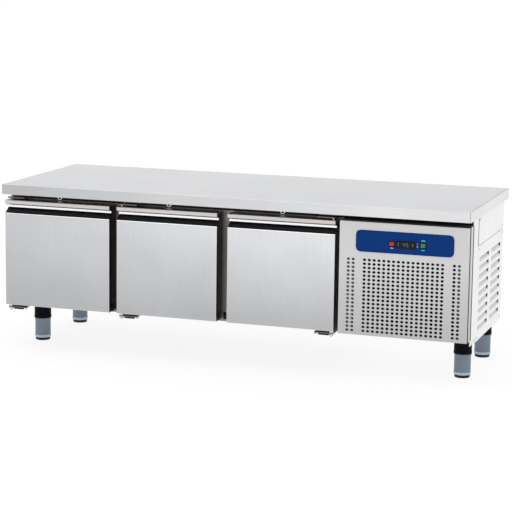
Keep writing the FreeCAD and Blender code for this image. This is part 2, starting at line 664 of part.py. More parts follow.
def rocker(word, place):
    """A two-faced rocker, stored with its upper half pressed in."""
    half = f"({well_width} / 2 - rocker_gap)"
    wide = f"{well_width} - 2 * rocker_side_gap"
    points = [
        ("0 - rocker_tip", f"0 - {half}"),
        ("rocker_back", "0 - switch_size / 4"),
        ("rocker_back", "switch_size / 4"),
        ("0 - rocker_tip", half),
        ("0 - rocker_waist", "0"),
    ]
    body = profile(f"{word}_rocker", points, f"{place} - ({wide}) / 2", wide)
    turn = FreeCAD.Rotation(V(1, 0, 0), -size("rocker_tilt"))
    body.Placement = FreeCAD.Placement(V(), turn)
    bind(body, {"Placement.Base.x": f"{place} - ({wide}) / 2",
                "Placement.Base.y": f"{fascia_face} + rocker_pivot",
                "Placement.Base.z": switch_z})
    node(body)


side_front = f"({frame_face} + post_depth + seam / 2)"
side_seam = f"({top_under} - upper_panel_height)"


def side_screws():
    """Centres (Y, Z) of the screws that hold the two right-hand panels."""
    front = f"{side_front} + screw_inset"
    back = f"{rear} - screw_inset"
    under_seam = f"{side_seam} - seam - screw_drop"
    skirt_line = "foot_height - skirt + screw_drop"
    return [(front, under_seam), (back, under_seam), (front, skirt_line), (back, skirt_line),
            (back, f"{side_seam} + screw_drop"), (front, f"{top_under} - screw_drop")]


gland_place = (f"({body_right} - gland_inset)", "(foot_height + gland_level)")


def rear_screws():
    lines = (f"{bay_left} + screw_inset", f"{body_right} - screw_inset - post_sheet")
    return [(x, z) for x in lines for z in ("foot_height + screw_rise", f"{top_under} - screw_rise")]


def side_panels():
    thick = (f"{body_right} - post_sheet", body_right)
    upper = box("upper_side_blank", thick, (side_front, rear), (side_seam, top_under))
    screws = side_screws()
    holes = [rod(f"side_hole_{i}", "x", place, thick, "screw_hole")
             for i, place in enumerate(screws)]
    node(cut("right_side_panel", upper, holes[4:]))

    low = "(foot_height - skirt)"
    blank = box("side_grille_blank", thick, (side_front, rear), (low, f"{side_seam} - seam"))
    doc.recompute()
    sheet_thick = size("post_sheet")
    run = blank.Width.Value - size("louvre_front") - size("louvre_rear") - size("louvre_bar")
    wide = run / 2
    lap = size("louvre_lap")
    lines = rows(f"{side_seam} - seam - {low} - louvre_foot - louvre_height - louvre_head",
                 "louvre_pitch")
    windows = []
    blades = []
    for column in range(2):
        start = size("louvre_front") + column * (wide + size("louvre_bar"))
        for line in range(lines):
            foot = size("louvre_foot") + line * size("louvre_pitch")
            windows.append(Part.makeBox(sheet_thick, wide, size("louvre_height"),
                                        V(0, start, foot)))
            reach = sheet_thick - size("louvre_reach")
            rise = foot + size("louvre_rise")
            outline = [V(0, start, foot - lap), V(sheet_thick, start, foot - lap),
                       V(sheet_thick, start, foot + lap / 2), V(reach + lap, start, rise + lap),
                       V(reach, start, rise), V(0, start, foot)]
            blade = Part.Face(Part.makePolygon(outline + outline[:1]))
            blades.append(blade.extrude(V(0, wide, 0)))
    place = (thick[0], side_front, low)
    slotted = cut("side_grille_slotted", blank,
                  [built("side_grille_windows", Part.makeCompound(windows), place)])
    pressed = fuse("side_grille_pressed",
                   [slotted, built("side_grille_blades", Part.makeCompound(blades), place)])
    node(cut("side_grille", pressed, holes[:4]))

    back = (f"{rear} - post_sheet", rear)
    rear_blank = box("rear_grille_blank", (bay_left, f"{body_right} - post_sheet - flange_sheet"),
                     back, ("foot_height + bay_base", top_under))
    tools = [rod(f"rear_grille_hole_{i}", "y", place, back, "screw_hole")
             for i, place in enumerate(rear_screws())]
    tools.append(rod("rear_grille_cable_hole", "y", gland_place, back, "gland_bore"))
    slot_low = "foot_height + bay_base + rear_foot"
    for line in range(rows(f"{top_under} - rear_head - rear_slot_height - ({slot_low})",
                           "rear_slot_pitch")):
        z = f"{slot_low} + {line} * rear_slot_pitch"
        tools.append(box(f"rear_slot_{line}", (f"{bay_left} + rear_margin",
                                               f"{body_right} - rear_margin"),
                         back, (z, f"{z} + rear_slot_height")))
    node(cut("rear_grille", rear_blank, tools))


def fasteners():
    solids = []
    for number, place in enumerate(side_screws()):
        head = rod(f"side_screw_head_{number}", "x", place,
                   (body_right, f"{body_right} + screw_proud"), "screw_head")
        shank = rod(f"side_screw_shank_{number}", "x", place,
                    (f"{body_right} - screw_length", body_right), "screw_shank")
        solids.append(fuse(f"side_screw_{number}", [head, shank]))
    for number, place in enumerate(rear_screws()):
        head = rod(f"rear_screw_head_{number}", "y", place,
                   (rear, f"{rear} + screw_proud"), "screw_head")
        shank = rod(f"rear_screw_shank_{number}", "y", place,
                    (f"{rear} - screw_length", rear), "screw_shank")
        solids.append(fuse(f"rear_screw_{number}", [head, shank]))
    node(group("panel_screws", solids))

    reach = (rear, f"{rear} + gland_length")
    outside = rod("gland_outside", "y", gland_place, reach, "gland_radius")
    node(cut("cable_gland", outside, [rod("gland_cable_hole", "y", gland_place, reach,
                                          "gland_bore")]))


# ---------------------------------------------------------------- inside the cold compartment
def cold_fittings():
    rails = []
    shelves = []
    floor = f"({cold_floor} + rail_level)"
    behind = (f"{frame_back} + mullion_depth", cold_back)
    ends = [openings[0], openings[1], (openings[2][0], evaporator_left)]
    for number, (low, high) in enumerate(ends):
        inner_low = f"{low} + rail_web" if number == 0 else low
        inner_high = f"{high} - rail_web" if number == 2 else high
        for word, web, ledge in (
                ("left", (f"{inner_low} - rail_web", inner_low),
                 (inner_low, f"{inner_low} + rail_ledge")),
                ("right", (inner_high, f"{inner_high} + rail_web"),
                 (f"{inner_high} - rail_ledge", inner_high))):
            rails.append(fuse(f"rail_{number}_{word}", [
                box(f"rail_web_{number}_{word}", web, behind, (floor, f"{floor} + rail_height")),
                box(f"rail_ledge_{number}_{word}", ledge, behind,
                    (floor, f"{floor} + rail_web")),
            ]))
        shelves.append(wire_shelf(number, inner_low, inner_high, f"({floor} + rail_web)"))
    node(group("shelf_runners", rails))
    node(group("wire_shelves", shelves))


def wire_shelf(number, low, high, level):
    """Two side rods, three cross rods and the wires that the food stands on."""
    centre = f"({level} + rod_radius)"
    front = f"({frame_back} + mullion_depth + shelf_gap)"
    back = f"({cold_back} - shelf_gap)"
    first = f"({low} + shelf_gap + rod_radius)"
    last = f"({high} - shelf_gap - rod_radius)"
    rods = [rod(f"shelf_{number}_side_{i}", "y", (x, centre), (front, back), "rod_radius")
            for i, x in enumerate((first, last))]
    for i, y in enumerate((f"{front} + rod_radius", f"({front} + {back}) / 2",
                           f"{back} - rod_radius")):
        rods.append(rod(f"shelf_{number}_cross_{i}", "x", (y, centre), (first, last),
                        "cross_radius"))
    wires = int(size("shelf_wires"))
    for i in range(1, wires + 1):
        x = f"{first} + ({last} - {first}) * {i} / {wires + 1}"
        rods.append(rod(f"shelf_{number}_wire_{i}", "y", (x, f"{centre} + rod_radius"),
                        (front, back), "wire_radius"))
    return fuse(f"wire_shelf_{number}", rods)


def finned_coil(name, length, deep, tall, fins, tubes, place):
    """A block of fins crossed by copper tubes: length along X, then depth, then height."""
    fin = size("fin_sheet")
    step = (length - fin) / (fins - 1)
    plates = [Part.makeBox(fin, deep, tall, V(i * step, 0, 0)) for i in range(fins)]
    runs = []
    for i in range(tubes):
        level = tall * (i + 0.5) / tubes
        runs.append(Part.makeCylinder(size("pipe_radius"), length, V(0, deep / 2, level),
                                      V(1, 0, 0)))
    return built(name, plates[0].multiFuse(plates[1:] + runs), place)


def evaporator():
    tall = worth(f"{coil_top} - {coil_low}")
    long = worth(f"{coil_back} - {coil_front}")
    coil = finned_coil("evaporator_coil", long, size("coil_thick"), tall,
                       int(size("cold_fins")), int(size("cold_tubes")), ("0", "0", "0"))
    turned = coil.Shape.copy()
    turned.rotate(V(), V(0, 0, 1), 90)
    coil.Shape = turned.Solids[0]
    bind(coil, {"Placement.Base.x": cold_right, "Placement.Base.y": coil_front,
                "Placement.Base.z": coil_low})
    node(coil)

    fan_place = (f"({coil_front} + {coil_back}) / 2", cold_fan_z)
    thick = (evaporator_left, f"{evaporator_left} + sheet")
    cover = box("cover_blank", thick, (f"{frame_back} + cover_front", cold_back),
                (cold_floor, cold_ceiling))
    fan_hole = rod("cover_fan_hole", "x", fan_place, thick, "cold_fan_radius + cold_fan_gap")
    inlet = box("cover_inlet", thick,
                (coil_front, f"{cold_back} - cover_front"),
                (coil_low, f"{coil_low} + inlet_height"))
    node(cut("evaporator_cover", cover, [fan_hole, inlet]))
    return fan_place


def fan(name, radius, deep, axis, place):
    """Hub and pitched blades about the local Z axis, turned to face along the given axis."""
    hub_radius = size("hub_radius")
    hub = Part.makeCylinder(hub_radius, deep)
    parts = []
    chord = size("blade_chord")
    thick = size("blade_thick")
    blades = int(size("fan_blades"))
    for i in range(blades):
        root = hub_radius - size("blade_root")
        blade = Part.makeBox(radius - root, chord, thick, V(root, -chord / 2, -thick / 2))
        blade.rotate(V(), V(1, 0, 0), size("blade_pitch"))
        blade.translate(V(0, 0, deep / 2))
        blade.rotate(V(), V(0, 0, 1), 360 / blades * i)
        parts.append(blade)
    solid = hub.multiFuse(parts)
    swept = Part.makeCylinder(radius, deep)
    solid = solid.common(swept)
    bore = Part.makeCylinder(size("shaft_radius") + size("shaft_clearance"), deep)
    solid = solid.cut(bore)
    solid.rotate(V(), TURNS[axis].Axis, math.degrees(TURNS[axis].Angle))
    piece = doc.addObject("Part::Feature", name)
    piece.Shape = solid.Solids[0].copy()
    return node(bind(piece, {f"Placement.Base.{side}": words
                             for side, words in zip("xyz", place)}))


# ---------------------------------------------------------------- condensing unit
shroud_left = f"({panel_left} + shroud_left)"
shroud_right = f"({shroud_left} + shroud_width)"
shroud_front = f"({frame_face} + shroud_front)"
shroud_back = f"({shroud_front} + shroud_depth)"
bay_floor = "(foot_height + bay_base)"
shroud_top = f"({bay_floor} + shroud_height)"
unit_fan = (f"(({shroud_left} + {shroud_right}) / 2)", f"({bay_floor} + shroud_height / 2)")


def condensing_unit(cold_fan):
    outer = box("shroud_outer", (shroud_left, shroud_right), (shroud_front, shroud_back),
                (bay_floor, shroud_top))
    inner = box("shroud_inner",
                (f"{shroud_left} + shroud_sheet", f"{shroud_right} - shroud_sheet"),
                (shroud_front, f"{shroud_back} - shroud_sheet"),
                (f"{bay_floor} + shroud_sheet", f"{shroud_top} - shroud_sheet"))
    mouth = rod("shroud_mouth", "y", unit_fan,
                (f"{shroud_back} - shroud_sheet", shroud_back), "fan_radius + fan_gap")
    node(cut("fan_shroud", outer, [inner, mouth]))
    node(finned_coil("condenser_coil", size("shroud_width") - 2 * size("shroud_sheet"),
                     size("condenser_depth"), size("shroud_height") - 2 * size("shroud_sheet"),
                     int(size("warm_fins")), int(size("warm_tubes")),
                     (f"{shroud_left} + shroud_sheet", shroud_front,
                      f"{bay_floor} + shroud_sheet")))

    motor_front = f"({shroud_back} + fan_depth)"
    motor_back = f"({motor_front} + motor_length)"
    fan_front = f"({shroud_back} - fan_depth / 2)"
    unit_motor = fuse("unit_motor", [
        rod("unit_motor_can", "y", unit_fan, (motor_front, motor_back), "motor_radius"),
        rod("unit_motor_shaft", "y", unit_fan, (fan_front, motor_front), "shaft_radius"),
        box("unit_motor_bracket", about(unit_fan[0], "motor_bracket"),
            (f"{motor_back} - motor_strap_inset - motor_strap",
             f"{motor_back} - motor_strap_inset"), (bay_floor, unit_fan[1])),
    ])
    fan("condenser_fan", size("fan_radius"), size("fan_depth"), "y",
        (unit_fan[0], fan_front, unit_fan[1]))

    fan_start = f"({evaporator_left} + cold_fan_offset)"
    cold_motor = fuse("cold_motor", [
        rod("cold_motor_can", "x", cold_fan,
            (f"{fan_start} + cold_fan_depth + hub_gap", cold_right), "cold_motor_radius"),
        rod("cold_motor_shaft", "x", cold_fan,
            (fan_start, f"{fan_start} + cold_fan_depth + hub_gap"), "shaft_radius"),
    ])
    fan("evaporator_fan", size("cold_fan_radius"), size("cold_fan_depth"), "x",
        (fan_start, cold_fan[0], cold_fan[1]))
    node(group("fan_motors", [unit_motor, cold_motor]))

    centre = (f"({panel_left} + compressor_x)",
              f"(({motor_back} + {rear}) / 2 + compressor_shift)")
    plate_low = f"({bay_floor} + mount_height)"
    shell_low = f"({plate_low} + plate_thick)"
    pot = rod("compressor_pot", "z", centre, (shell_low, f"{shell_low} + compressor_height"),
              "compressor_radius")
    doc.recompute()
    rims = [i for i, edge in enumerate(pot.Shape.Edges, start=1) if edge.isClosed()]
    shell = rounded("compressor_shell", pot, rims, "dome_radius")
    plate = box("compressor_plate", about(centre[0], "2 * plate_half"),
                about(centre[1], "2 * plate_half"), (plate_low, shell_low))
    terminal = box("compressor_terminals",
                   (f"{centre[0]} + compressor_radius - terminal_sink",
                    f"{centre[0]} + compressor_radius + terminal_depth"),
                   about(centre[1], "terminal_width"),
                   (f"{shell_low} + terminal_low", f"{shell_low} + terminal_high"))
    node(fuse("compressor", [shell, plate, terminal]))
    mounts = []
    for i, (side, way) in enumerate((("-", "-"), ("-", "+"), ("+", "-"), ("+", "+"))):
        spot = (f"{centre[0]} {side} (plate_half - mount_radius)",
                f"{centre[1]} {way} (plate_half - mount_radius)")
        mounts.append(rod(f"mount_{i}", "z", spot, (bay_floor, plate_low), "mount_radius"))
    node(group("compressor_mounts", mounts))

    tray_right = f"({body_right} - post_sheet - flange_sheet - tray_side)"
    tray_back = f"({rear} - tray_rear)"
    tray = box("tray_blank", (f"{tray_right} - tray_width", tray_right),
               (f"{tray_back} - tray_length", tray_back),
               (bay_floor, f"{bay_floor} + tray_height"))
    tray_hollow = box("tray_hollow",
                      (f"{tray_right} - tray_width + tray_wall", f"{tray_right} - tray_wall"),
                      (f"{tray_back} - tray_length + tray_wall", f"{tray_back} - tray_wall"),
                      (f"{bay_floor} + tray_wall", f"{bay_floor} + tray_height"))
    node(cut("evaporation_tray", tray, [tray_hollow]))


def pipe_entries():
    """Centres (Y, Z) where the two copper lines pass through the insulated wall."""
    tall = f"({coil_top} - {coil_low})"
    return [(f"{coil_front} + liquid_reach", f"{coil_low} + {tall} * liquid_share"),
            (f"{coil_front} + suction_reach", f"{coil_low} + {tall} * suction_share")]


def tube(points, radius):
    """A bent tube: straight runs joined by arcs of three tube radii."""
    bend = 3 * radius
    edges = []
    start = points[0]
    for before, corner, after in zip(points, points[1:], points[2:]):
        into = (corner - before).normalize()
        away = (after - corner).normalize()
        half = into.getAngle(away) / 2
        back = bend * math.tan(half)
        first = corner - into * back
        last = corner + away * back
        middle_way = (away - into).normalize()
        middle = corner + middle_way * (bend / math.cos(half) - bend)
        edges.append(Part.LineSegment(start, first).toShape())
        edges.append(Part.Arc(first, middle, last).toShape())
        start = last
    edges.append(Part.LineSegment(start, points[-1]).toShape())
    way = (points[1] - points[0]).normalize()
    ring = Part.Wire(Part.makeCircle(radius, points[0], way))
    return Part.Wire(edges).makePipeShell([ring], True, False)


def refrigerant_pipes():
    """Suction, liquid and hot gas lines, with the filter drier in the liquid line."""
    doc.recompute()
    pot = doc.getObject("compressor_pot").Placement.Base
    radius = size("compressor_radius")
    shroud = doc.getObject("fan_shroud").Shape.BoundBox
    thick = size("pipe_radius")
    inner_x = doc.getObject("evaporator_coil").Shape.BoundBox.XMax
    low, high = [V(inner_x, hole.y, hole.z) for hole in
                 (doc.getObject(f"shell_pipe_{i}").Placement.Base for i in range(2))]
    run = size("pipe_run")
    bay_x = inner_x + size("insulation") + run
    suction = tube([high, V(bay_x, high.y, high.z), V(bay_x, pot.y, high.z),
                    V(pot.x - radius, pot.y, high.z)], thick)

    outlet = V(shroud.XMin + size("outlet_inset"), shroud.YMax,
               shroud.ZMin + size("outlet_rise"))
    liquid_x = bay_x - size("pipe_step")
    liquid = tube([outlet, outlet + V(0, run, 0), V(liquid_x, outlet.y + run, outlet.z),
                   V(liquid_x, low.y, outlet.z), V(liquid_x, low.y, low.z), low], thick)
    drier_length = size("drier_length")
    drier = Part.makeCylinder(size("drier_radius"), drier_length,
                              V((liquid_x + outlet.x - drier_length) / 2, outlet.y + run, outlet.z),
                              V(1, 0, 0))

    hot_x = pot.x + size("pipe_step")
    hot_z = pot.z + size("compressor_height") - size("hot_drop")
    turn_y = shroud.YMax + size("hot_run")
    inlet_x = shroud.XMin + size("hot_inset")
    hot = tube([V(hot_x, pot.y - radius, hot_z), V(hot_x, turn_y, hot_z),
                V(inlet_x, turn_y, hot_z), V(inlet_x, shroud.YMax, hot_z)], thick)
    piece = doc.addObject("Part::Feature", "refrigerant_pipes")
    piece.Shape = Part.makeCompound([suction.Solids[0], liquid.fuse(drier).Solids[0],
                                     hot.Solids[0]])
    node(piece)


# ---------------------------------------------------------------- feet
def feet():
    collars = []
    spots = [(f"0 {sign} (width / 2 - foot_side)", y)
             for y in ("foot_front - depth / 2", "depth / 2 - foot_rear") for sign in "-+"]
    names = ("front_left", "front_right", "rear_left", "rear_right")
    for name, spot in zip(names, spots):
        low = "(foot_height - collar_height)"
        sleeve = rod(f"collar_{name}_outer", "z", spot, (low, "foot_height"),
                     "foot_radius + foot_gap + collar_wall")
        bore = rod(f"collar_{name}_bore", "z", spot, (low, "foot_height - collar_roof"),
                   "foot_radius + foot_gap")
        collars.append(cut(f"collar_{name}", sleeve, [bore]))
        tube_top = "foot_height - collar_roof - tube_gap"
        leg = rod(f"leg_{name}", "z", spot, ("pad_height", tube_top), "foot_radius")
        pad = doc.addObject("Part::Cone", f"pad_{name}")
        bind(pad, {"Radius1": "foot_radius - pad_inset", "Radius2": "foot_radius - pad_step",
                   "Height": "pad_height", "Placement.Base.x": spot[0], "Placement.Base.y": spot[1]})
        node(fuse(f"foot_{name}", [leg, pad]))
    node(group("foot_collars", collars))


worktop()
carcass()
for index in range(3):
    door(index)
hinges()
locks()
grille_panel()
control_panel()
side_panels()
fasteners()
cold_fittings()
condensing_unit(evaporator())
refrigerant_pipes()
feet()
doc.recompute()

for thing in doc.Objects:
    if "Invalid" in thing.State or "Error" in thing.State:
        raise RuntimeError(f"{thing.Name} did not build")
for piece in nodes:
    if piece.Shape.isNull() or not piece.Shape.isValid() or not piece.Shape.Solids:
        raise RuntimeError(f"{piece.Label} has no valid solid")

os.makedirs("parts", exist_ok=True)
for piece in nodes:
    piece.Shape.exportStep(f"parts/{piece.Label}.step")
    print(piece.Label, len(piece.Shape.Solids), round(piece.Shape.Volume))
print(len(nodes), "nodes")
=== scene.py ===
# %% [markdown]
# # A low refrigerated counter
# Kitchens keep this counter under a grill or a worktable: three insulated doors, a steel top and
# a cooling unit behind a perforated panel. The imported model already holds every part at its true
# size and place. This lesson gives each part its finish, and models again, by hand, the parts
# whose folds and roundings make the counter look real.

import math

import bmesh
import bpy
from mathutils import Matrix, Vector


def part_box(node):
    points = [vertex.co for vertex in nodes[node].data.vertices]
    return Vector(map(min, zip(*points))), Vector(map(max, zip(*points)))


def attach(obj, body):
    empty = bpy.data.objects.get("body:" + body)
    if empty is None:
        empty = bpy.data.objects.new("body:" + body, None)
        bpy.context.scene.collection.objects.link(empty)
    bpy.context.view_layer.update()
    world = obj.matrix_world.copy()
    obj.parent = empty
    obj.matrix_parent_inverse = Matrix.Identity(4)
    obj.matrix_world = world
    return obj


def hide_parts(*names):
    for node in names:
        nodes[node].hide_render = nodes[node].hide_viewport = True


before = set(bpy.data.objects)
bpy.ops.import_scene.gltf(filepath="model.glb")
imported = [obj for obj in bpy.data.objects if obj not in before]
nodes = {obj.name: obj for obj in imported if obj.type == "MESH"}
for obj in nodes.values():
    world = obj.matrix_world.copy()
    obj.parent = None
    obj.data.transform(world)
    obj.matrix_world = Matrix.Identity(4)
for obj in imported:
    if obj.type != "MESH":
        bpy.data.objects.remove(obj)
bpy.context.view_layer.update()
MM = 0.001
print(len(nodes), "parts in the packed model")

# %% [markdown]
# ## Tools for modelling by hand
# Every piece starts as a primitive, and then faces and edges are picked by their place and
# changed with the same operators that the menus offer. An operator works on whatever is selected,
# so the first helpers clear the selection and take one piece, and the picking helpers select only
# what a test accepts. Each piece ends with its transforms applied, so its place is in its mesh.

# %% Helpers: start a piece
def clear_selection():
    """Leave edit mode and select nothing."""
    if bpy.context.object and bpy.context.object.mode != "OBJECT":
        bpy.ops.object.mode_set(mode="OBJECT")
    bpy.ops.object.select_all(action="DESELECT")


def take(piece):
    """Select one piece and make it the active one."""
    clear_selection()
    piece.select_set(True)
    bpy.context.view_layer.objects.active = piece


def apply_place(piece):
    take(piece)
    bpy.ops.object.transform_apply(location=True, rotation=True, scale=True)


def block(name, low, high):
    """A cube stretched to fill the box between two corners."""
    clear_selection()
    low, high = Vector(low), Vector(high)
    bpy.ops.mesh.primitive_cube_add(size=1, location=(low + high) / 2, scale=high - low)
    piece = bpy.context.object
    piece.name = name
    apply_place(piece)
    return piece


TURNS = {"X": (0, math.pi / 2, 0), "Y": (-math.pi / 2, 0, 0), "Z": (0, 0, 0)}


def drum(name, axis, centre, radius, length, sides=48):
    """A round bar about an axis; centre is the middle of the bar."""
    clear_selection()
    bpy.ops.mesh.primitive_cylinder_add(vertices=sides, radius=radius, depth=length,
                                        location=centre, rotation=TURNS[axis])
    piece = bpy.context.object
    piece.name = name
    apply_place(piece)
    return piece


print("turns about", *TURNS)

# %% Helpers: pick faces and edges, and change them
def edit(piece):
    """Open a piece in edit mode with nothing selected."""
    take(piece)
    bpy.ops.object.mode_set(mode="EDIT")
    bpy.ops.mesh.select_all(action="DESELECT")


def leave_edit():
    bpy.ops.object.mode_set(mode="OBJECT")


def pick_faces(piece, test):
    """Select the faces whose (centre, normal) pass a test; the piece is in edit mode."""
    bpy.ops.mesh.select_mode(type="FACE")
    bpy.ops.mesh.select_all(action="DESELECT")
    for face in bmesh.from_edit_mesh(piece.data).faces:
        if test(face.calc_center_median(), face.normal):
            face.select_set(True)
    bmesh.update_edit_mesh(piece.data)


def pick_edges(piece, test):
    """Select the edges whose two ends pass a test; the piece is in edit mode."""
    bpy.ops.mesh.select_mode(type="EDGE")
    bpy.ops.mesh.select_all(action="DESELECT")
    for side in bmesh.from_edit_mesh(piece.data).edges:
        if test(side.verts[0].co, side.verts[1].co):
            side.select_set(True)
    bmesh.update_edit_mesh(piece.data)


def facing(axis, way=1):
    """A test for the faces that look along an axis, or against it when way is -1."""
    return lambda centre, normal: way * getattr(normal, axis) > 0.9


def near(a, b, slack=0.05 * MM):
    return abs(a - b) < slack


def push(step):
    """Extrude what is selected."""
    bpy.ops.mesh.extrude_region_move(TRANSFORM_OT_translate={"value": step})


def round_off(width, segments):
    """Bevel the selected edges to a round fold."""
    bpy.ops.mesh.bevel(offset=width, segments=segments, profile=0.5)


def cut_across(place, way):
    """Cut the whole piece along a plane without taking anything away."""
    bpy.ops.mesh.select_all(action="SELECT")
    bpy.ops.mesh.bisect(plane_co=place, plane_no=way)


def turn_outward():
    bpy.ops.mesh.select_all(action="SELECT")
    bpy.ops.mesh.normals_make_consistent(inside=False)


print("helpers for edit mode ready")

# %% Helpers: modifiers, finishes and the last touches
def modify(piece, kind, **settings):
    """Add a modifier and apply it."""
    take(piece)
    modifier = piece.modifiers.new(kind.lower(), kind)
    for key, value in settings.items():
        setattr(modifier, key, value)
    bpy.ops.object.modifier_apply(modifier=modifier.name)


def soften(piece, width=0.6 * MM, segments=2, angle=35):
    """Round every sharp edge a little and shade the rest smooth."""
    modify(piece, "BEVEL", width=width, segments=segments, limit_method="ANGLE",
           angle_limit=math.radians(angle), harden_normals=False)
    smooth(piece, angle)


def smooth(piece, angle=35):
    take(piece)
    bpy.ops.object.shade_smooth_by_angle(angle=math.radians(angle))


def joined(name, pieces):
    """Join several pieces into one object."""
    clear_selection()
    for piece in pieces:
        piece.select_set(True)
    bpy.context.view_layer.objects.active = pieces[0]
    if len(pieces) > 1:
        bpy.ops.object.join()
    whole = bpy.context.object
    whole.name = name
    return whole


def paint(piece, finishes, choose):
    """Give a piece several finishes; choose gives the number of each face's finish."""
    for finish in finishes:
        piece.data.materials.append(finish)
    for face in piece.data.polygons:
        face.material_index = choose(face)


def ready(piece, body, material=None, instead_of=()):
    """Give a finished piece its material, the body it moves with and the parts it stands for."""
    apply_place(piece)
    if material is not None:
        piece.data.materials.clear()
        piece.data.materials.append(material)
    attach(piece, body)
    if instead_of:
        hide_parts(*instead_of)
    return piece


print("helpers for object mode ready")

# %% [markdown]
# ## The studio
# Kitchen machines are shown on a white sweep. A white world lights the steel from everywhere, a
# large soft lamp above the left front makes the top brighter than the doors, and a second one
# lights the louvred side. The floor is one wide pale plane that glows a little, which keeps the
# shadow under the counter faint.

# %% Floor, world and lamps
def stage_material():
    made = bpy.data.materials.new("studio_white")
    made.use_nodes = True
    shader = made.node_tree.nodes["Principled BSDF"]
    shader.inputs["Base Color"].default_value = (0.2, 0.2, 0.2, 1)
    shader.inputs["Roughness"].default_value = 0.9
    shader.inputs["Specular IOR Level"].default_value = 0.0
    shader.inputs["Emission Color"].default_value = (1, 1, 1, 1)
    shader.inputs["Emission Strength"].default_value = 0.81
    return made


clear_selection()
bpy.ops.mesh.primitive_plane_add(size=120, location=(0, 0, 0))
floor = bpy.context.object
floor.name = "studio_floor"
floor.data.materials.append(stage_material())

scene = bpy.context.scene
scene.view_settings.view_transform = "Standard"
world = bpy.data.worlds.new("studio")
scene.world = world
world.use_nodes = True
sky = world.node_tree.nodes["Background"]
sky.inputs["Color"].default_value = (1, 1, 1, 1)
sky.inputs["Strength"].default_value = 0.98


def lamp(name, place, target, size, power):
    bpy.ops.object.light_add(type="AREA", location=place)
    light = bpy.context.object
    light.name = name
    light.data.shape = "RECTANGLE"
    light.data.size, light.data.size_y = size
    light.data.energy = power
    way = Vector(target) - Vector(place)
    light.rotation_euler = way.to_track_quat("-Z", "Y").to_euler()


clear_selection()
lamp("overhead_soft", (-0.8, -1.6, 3.2), (0, 0, 0.4), (2.6, 1.6), 14)
lamp("right_side_soft", (3.6, -1.0, 1.6), (0.85, 0, 0.3), (1.6, 1.6), 6)
print("studio ready")

# %% [markdown]
# ## The camera
# The counter is seen from the right, from a little above its top, through a long lens, so that
# its edges stay nearly parallel. The camera is tipped down by about ten degrees, turned left by
# about nineteen, and leans by less than one. A small shift keeps the counter low in the frame.

# %% Camera
LENS_MM, SENSOR_MM = 128.45, 36.0
CAMERA_PLACE = (2.085, -6.220, 1.499)
CAMERA_TURN = (80.436, -0.657, 19.322)
SHIFT_RIGHT, SHIFT_UP = 0.0427, -0.0220

bpy.ops.object.camera_add(location=CAMERA_PLACE)
camera = bpy.context.object
camera.name = "studio_camera"
camera.data.lens = LENS_MM
camera.data.sensor_width = SENSOR_MM
camera.data.shift_x = SHIFT_RIGHT
camera.data.shift_y = SHIFT_UP
camera.rotation_euler = [math.radians(angle) for angle in CAMERA_TURN]
scene.camera = camera
print("camera at", CAMERA_PLACE)

# %% [markdown]
# ## Finishes: brushed steel
# Sheet steel for kitchens is ground with a belt, which leaves short parallel scratches. They are
# made from noise that is stretched many times along one axis: it changes the roughness and, a
# hair's breadth, the surface. A second, broad noise gives the cloudy unevenness of a large sheet.
# The scale is in real metres, because the patterns read Object coordinates.

# %% Helpers: node materials
def new_finish(name):
    """An empty node material: returns it with its node tree and its shader."""
    made = bpy.data.materials.new(name)
    made.use_nodes = True
    return made, made.node_tree, made.node_tree.nodes["Principled BSDF"]


def fill(tree, node, values):
    """Set a node's inputs; a value is a number, a colour or the output of another node."""
    for key, value in values.items():
        if isinstance(value, bpy.types.NodeSocket):
            tree.links.new(value, node.inputs[key])
        else:
            node.inputs[key].default_value = value


def add(tree, kind, values, **settings):
    """Add a node, with its settings first and then its inputs."""
    node = tree.nodes.new(f"ShaderNode{kind}")
    for key, value in settings.items():
        setattr(node, key, value)
    fill(tree, node, values)
    return node


def stretched_noise(tree, stretch, scale, detail=3.0):
    """Noise in Object coordinates, stretched by a mapping."""
    place = add(tree, "TexCoord", {}).outputs["Object"]
    mapping = add(tree, "Mapping", {"Vector": place, "Scale": stretch})
    noise = add(tree, "TexNoise", {"Vector": mapping.outputs["Vector"], "Scale": scale,
                                   "Detail": detail})
    return noise.outputs["Fac"]


def ranged(tree, value, low, high):
    """Spread the useful middle of a noise over a range."""
    return add(tree, "MapRange", {"Value": value, "From Min": 0.3, "From Max": 0.7,
                                  "To Min": low, "To Max": high}).outputs["Result"]


def span_along(tree, axis, low, high):
    """Runs from 0 to 1 between two places along an axis of the counter."""
    place = add(tree, "TexCoord", {}).outputs["Object"]
    along = add(tree, "SeparateXYZ", {"Vector": place}).outputs[axis]
    return add(tree, "MapRange", {"Value": along, "From Min": low,
                                  "From Max": high}).outputs["Result"]


def mixed(tree, factor, first, second, blend="MIX"):
    """Mix two colours by a factor."""
    return add(tree, "Mix", {"Factor": factor, "A": first, "B": second}, data_type="RGBA",
               blend_type=blend).outputs["Result"]


def worked(tree, operation, first, second):
    """A sum or a product of two values."""
    return add(tree, "Math", {0: first, 1: second}, operation=operation).outputs[0]


def bumped(tree, shader, height, strength, distance):
    bump = add(tree, "Bump", {"Strength": strength, "Distance": distance, "Height": height})
    fill(tree, shader, {"Normal": bump.outputs["Normal"]})


def toned(tree, factor, tint, change, painted_shading):
    """A colour that wanders about its tint. A painted shading is a function that gives a factor
    along the counter, and the least of the grey that the colour is multiplied by: it paints shade
    where the factor is low."""
    dark = [c * (1 - change) for c in tint]
    light = [min(1.0, c * (1 + change)) for c in tint]
    colour = mixed(tree, factor, (*dark, 1), (*light, 1))
    # Painted shade: the colour is darkened along the counter where the factor is low.
    if painted_shading:
        rise, least = painted_shading
        grey = mixed(tree, rise(tree), (least, least, least, 1), (1, 1, 1, 1))
        colour = mixed(tree, 1, colour, grey, "MULTIPLY")
    return colour


print("helpers for node materials ready")

# %% Brushed steel
ALONG_X, UPRIGHT, ALONG_Y = (7, 420, 420), (420, 420, 7), (420, 7, 420)


